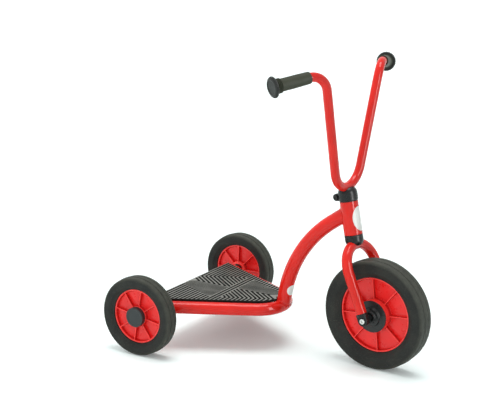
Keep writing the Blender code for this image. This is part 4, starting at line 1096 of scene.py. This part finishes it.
def make_floor():
    """Pale floor, slightly brighter where it is seen directly."""
    half = 40
    glow = 0.12
    solid = prism([(-half, -half), (half, -half), (half, half), (-half, half)], -0.02, 0)
    mesh = bpy.data.meshes.new("floor")
    solid.to_mesh(mesh)
    solid.free()
    material, tree, shader = new_material("floor_white", (0.83, 0.93, 0.915), 0.8, 0.1)
    tone = blend(tree, mottle(tree, (3, 3), 0, 1), (0.82, 0.92, 0.905), (0.84, 0.935, 0.92))
    feed(tree, shader.inputs["Base Color"], tone)
    shader.inputs["Emission Color"].default_value = (1, 1, 1, 1)
    feed(tree, shader.inputs["Emission Strength"], times(tree, seen_directly(tree), glow))
    mesh.materials.append(material)
    thing = bpy.data.objects.new("floor", mesh)
    bpy.context.scene.collection.objects.link(thing)


def make_world():
    """White where it is seen directly; elsewhere light from three soft patches."""
    world = bpy.data.worlds.new("studio")
    bpy.context.scene.world = world
    world.use_nodes = True
    tree = world.node_tree
    tree.nodes.clear()
    direction = node(tree, "ShaderNodeTexCoord").outputs["Generated"]
    lit = spread(tree, dot(tree, direction, (-0.80, -0.49, 0.35)), 0.15, 0.60, 0.20, 1.15)
    for heading, low, high, power in (
            ((-0.50, 0.83, 0.24), 0.72, 0.94, 1.1), ((0.20, -0.98, 0.0), 0.60, 0.92, 0.85)):
        lit = plus(tree, lit, spread(tree, dot(tree, direction, heading), low, high, 0, power))
    seen = seen_directly(tree)
    strength = plus(tree, times(tree, lit, math_of(tree, "SUBTRACT", 1.0, seen)), seen)
    background = node(tree, "ShaderNodeBackground", None, Color=(1, 1, 1, 1), Strength=strength)
    output = node(tree, "ShaderNodeOutputWorld")
    tree.links.new(background.outputs[0], output.inputs["Surface"])


def add_lamp(name, kind, energy, place):
    """A lamp and its object."""
    lamp = bpy.data.lights.new(name, kind)
    lamp.energy = energy
    thing = bpy.data.objects.new(name, lamp)
    thing.matrix_world = place
    bpy.context.scene.collection.objects.link(thing)
    return lamp, thing


def make_lights():
    """Broad light from above, a faint one from the right and a tall strip for the highlights."""
    lift = Matrix.Translation((0, 0, 3))
    for name, heading, angle, energy in (
            ("soft_above", (0.05, 0.03, 1.0), 34, 1.80),
            ("soft_right", (0.95, -0.10, 0.55), 9, 0.12)):
        lamp, _ = add_lamp(name, "SUN", energy, along((0, 0, 0), heading) @ lift)
        lamp.angle = math.radians(angle)
    spot = Vector((1.75, -0.35, 0.8))
    target = Vector((0.1, 0, 0.8))
    lamp, thing = add_lamp("tall_strip", "AREA", 26.0, facing(spot, spot - target))
    lamp.shape = "RECTANGLE"
    lamp.size = 0.5
    lamp.size_y = 1.6
    thing.visible_diffuse = False


def make_camera():
    """Camera at the photograph's angle."""
    data = bpy.data.cameras.new("photo_camera")
    data.lens = 90.39
    data.sensor_width = 36
    data.sensor_fit = "HORIZONTAL"
    data.clip_end = 30
    camera = bpy.data.objects.new("photo_camera", data)
    right = Vector((0.8553, 0.5181, 0.0097)).normalized()
    down = Vector((0.1317, -0.1991, -0.9711))
    down = (down - right * down.dot(right)).normalized()
    forward = right.cross(down)
    turn = Matrix((right, -down, -forward)).transposed().to_4x4()
    camera.matrix_world = Matrix.Translation((1.5330 - MIDDLE_X, -2.3045, 0.9856)) @ turn
    bpy.context.scene.collection.objects.link(camera)
    bpy.context.scene.camera = camera
    bpy.context.scene.view_settings.view_transform = "Standard"


looks = make_materials()
dress_nodes(looks)
make_frame(looks)
make_deck(looks)
make_rear_wheel("right", 35.7, looks)
make_rear_wheel("left", 0.2, looks)
make_front_wheel(looks)
make_fork(looks)
make_handlebar(looks)
make_films(looks)
make_floor()
make_world()
make_lights()
make_camera()
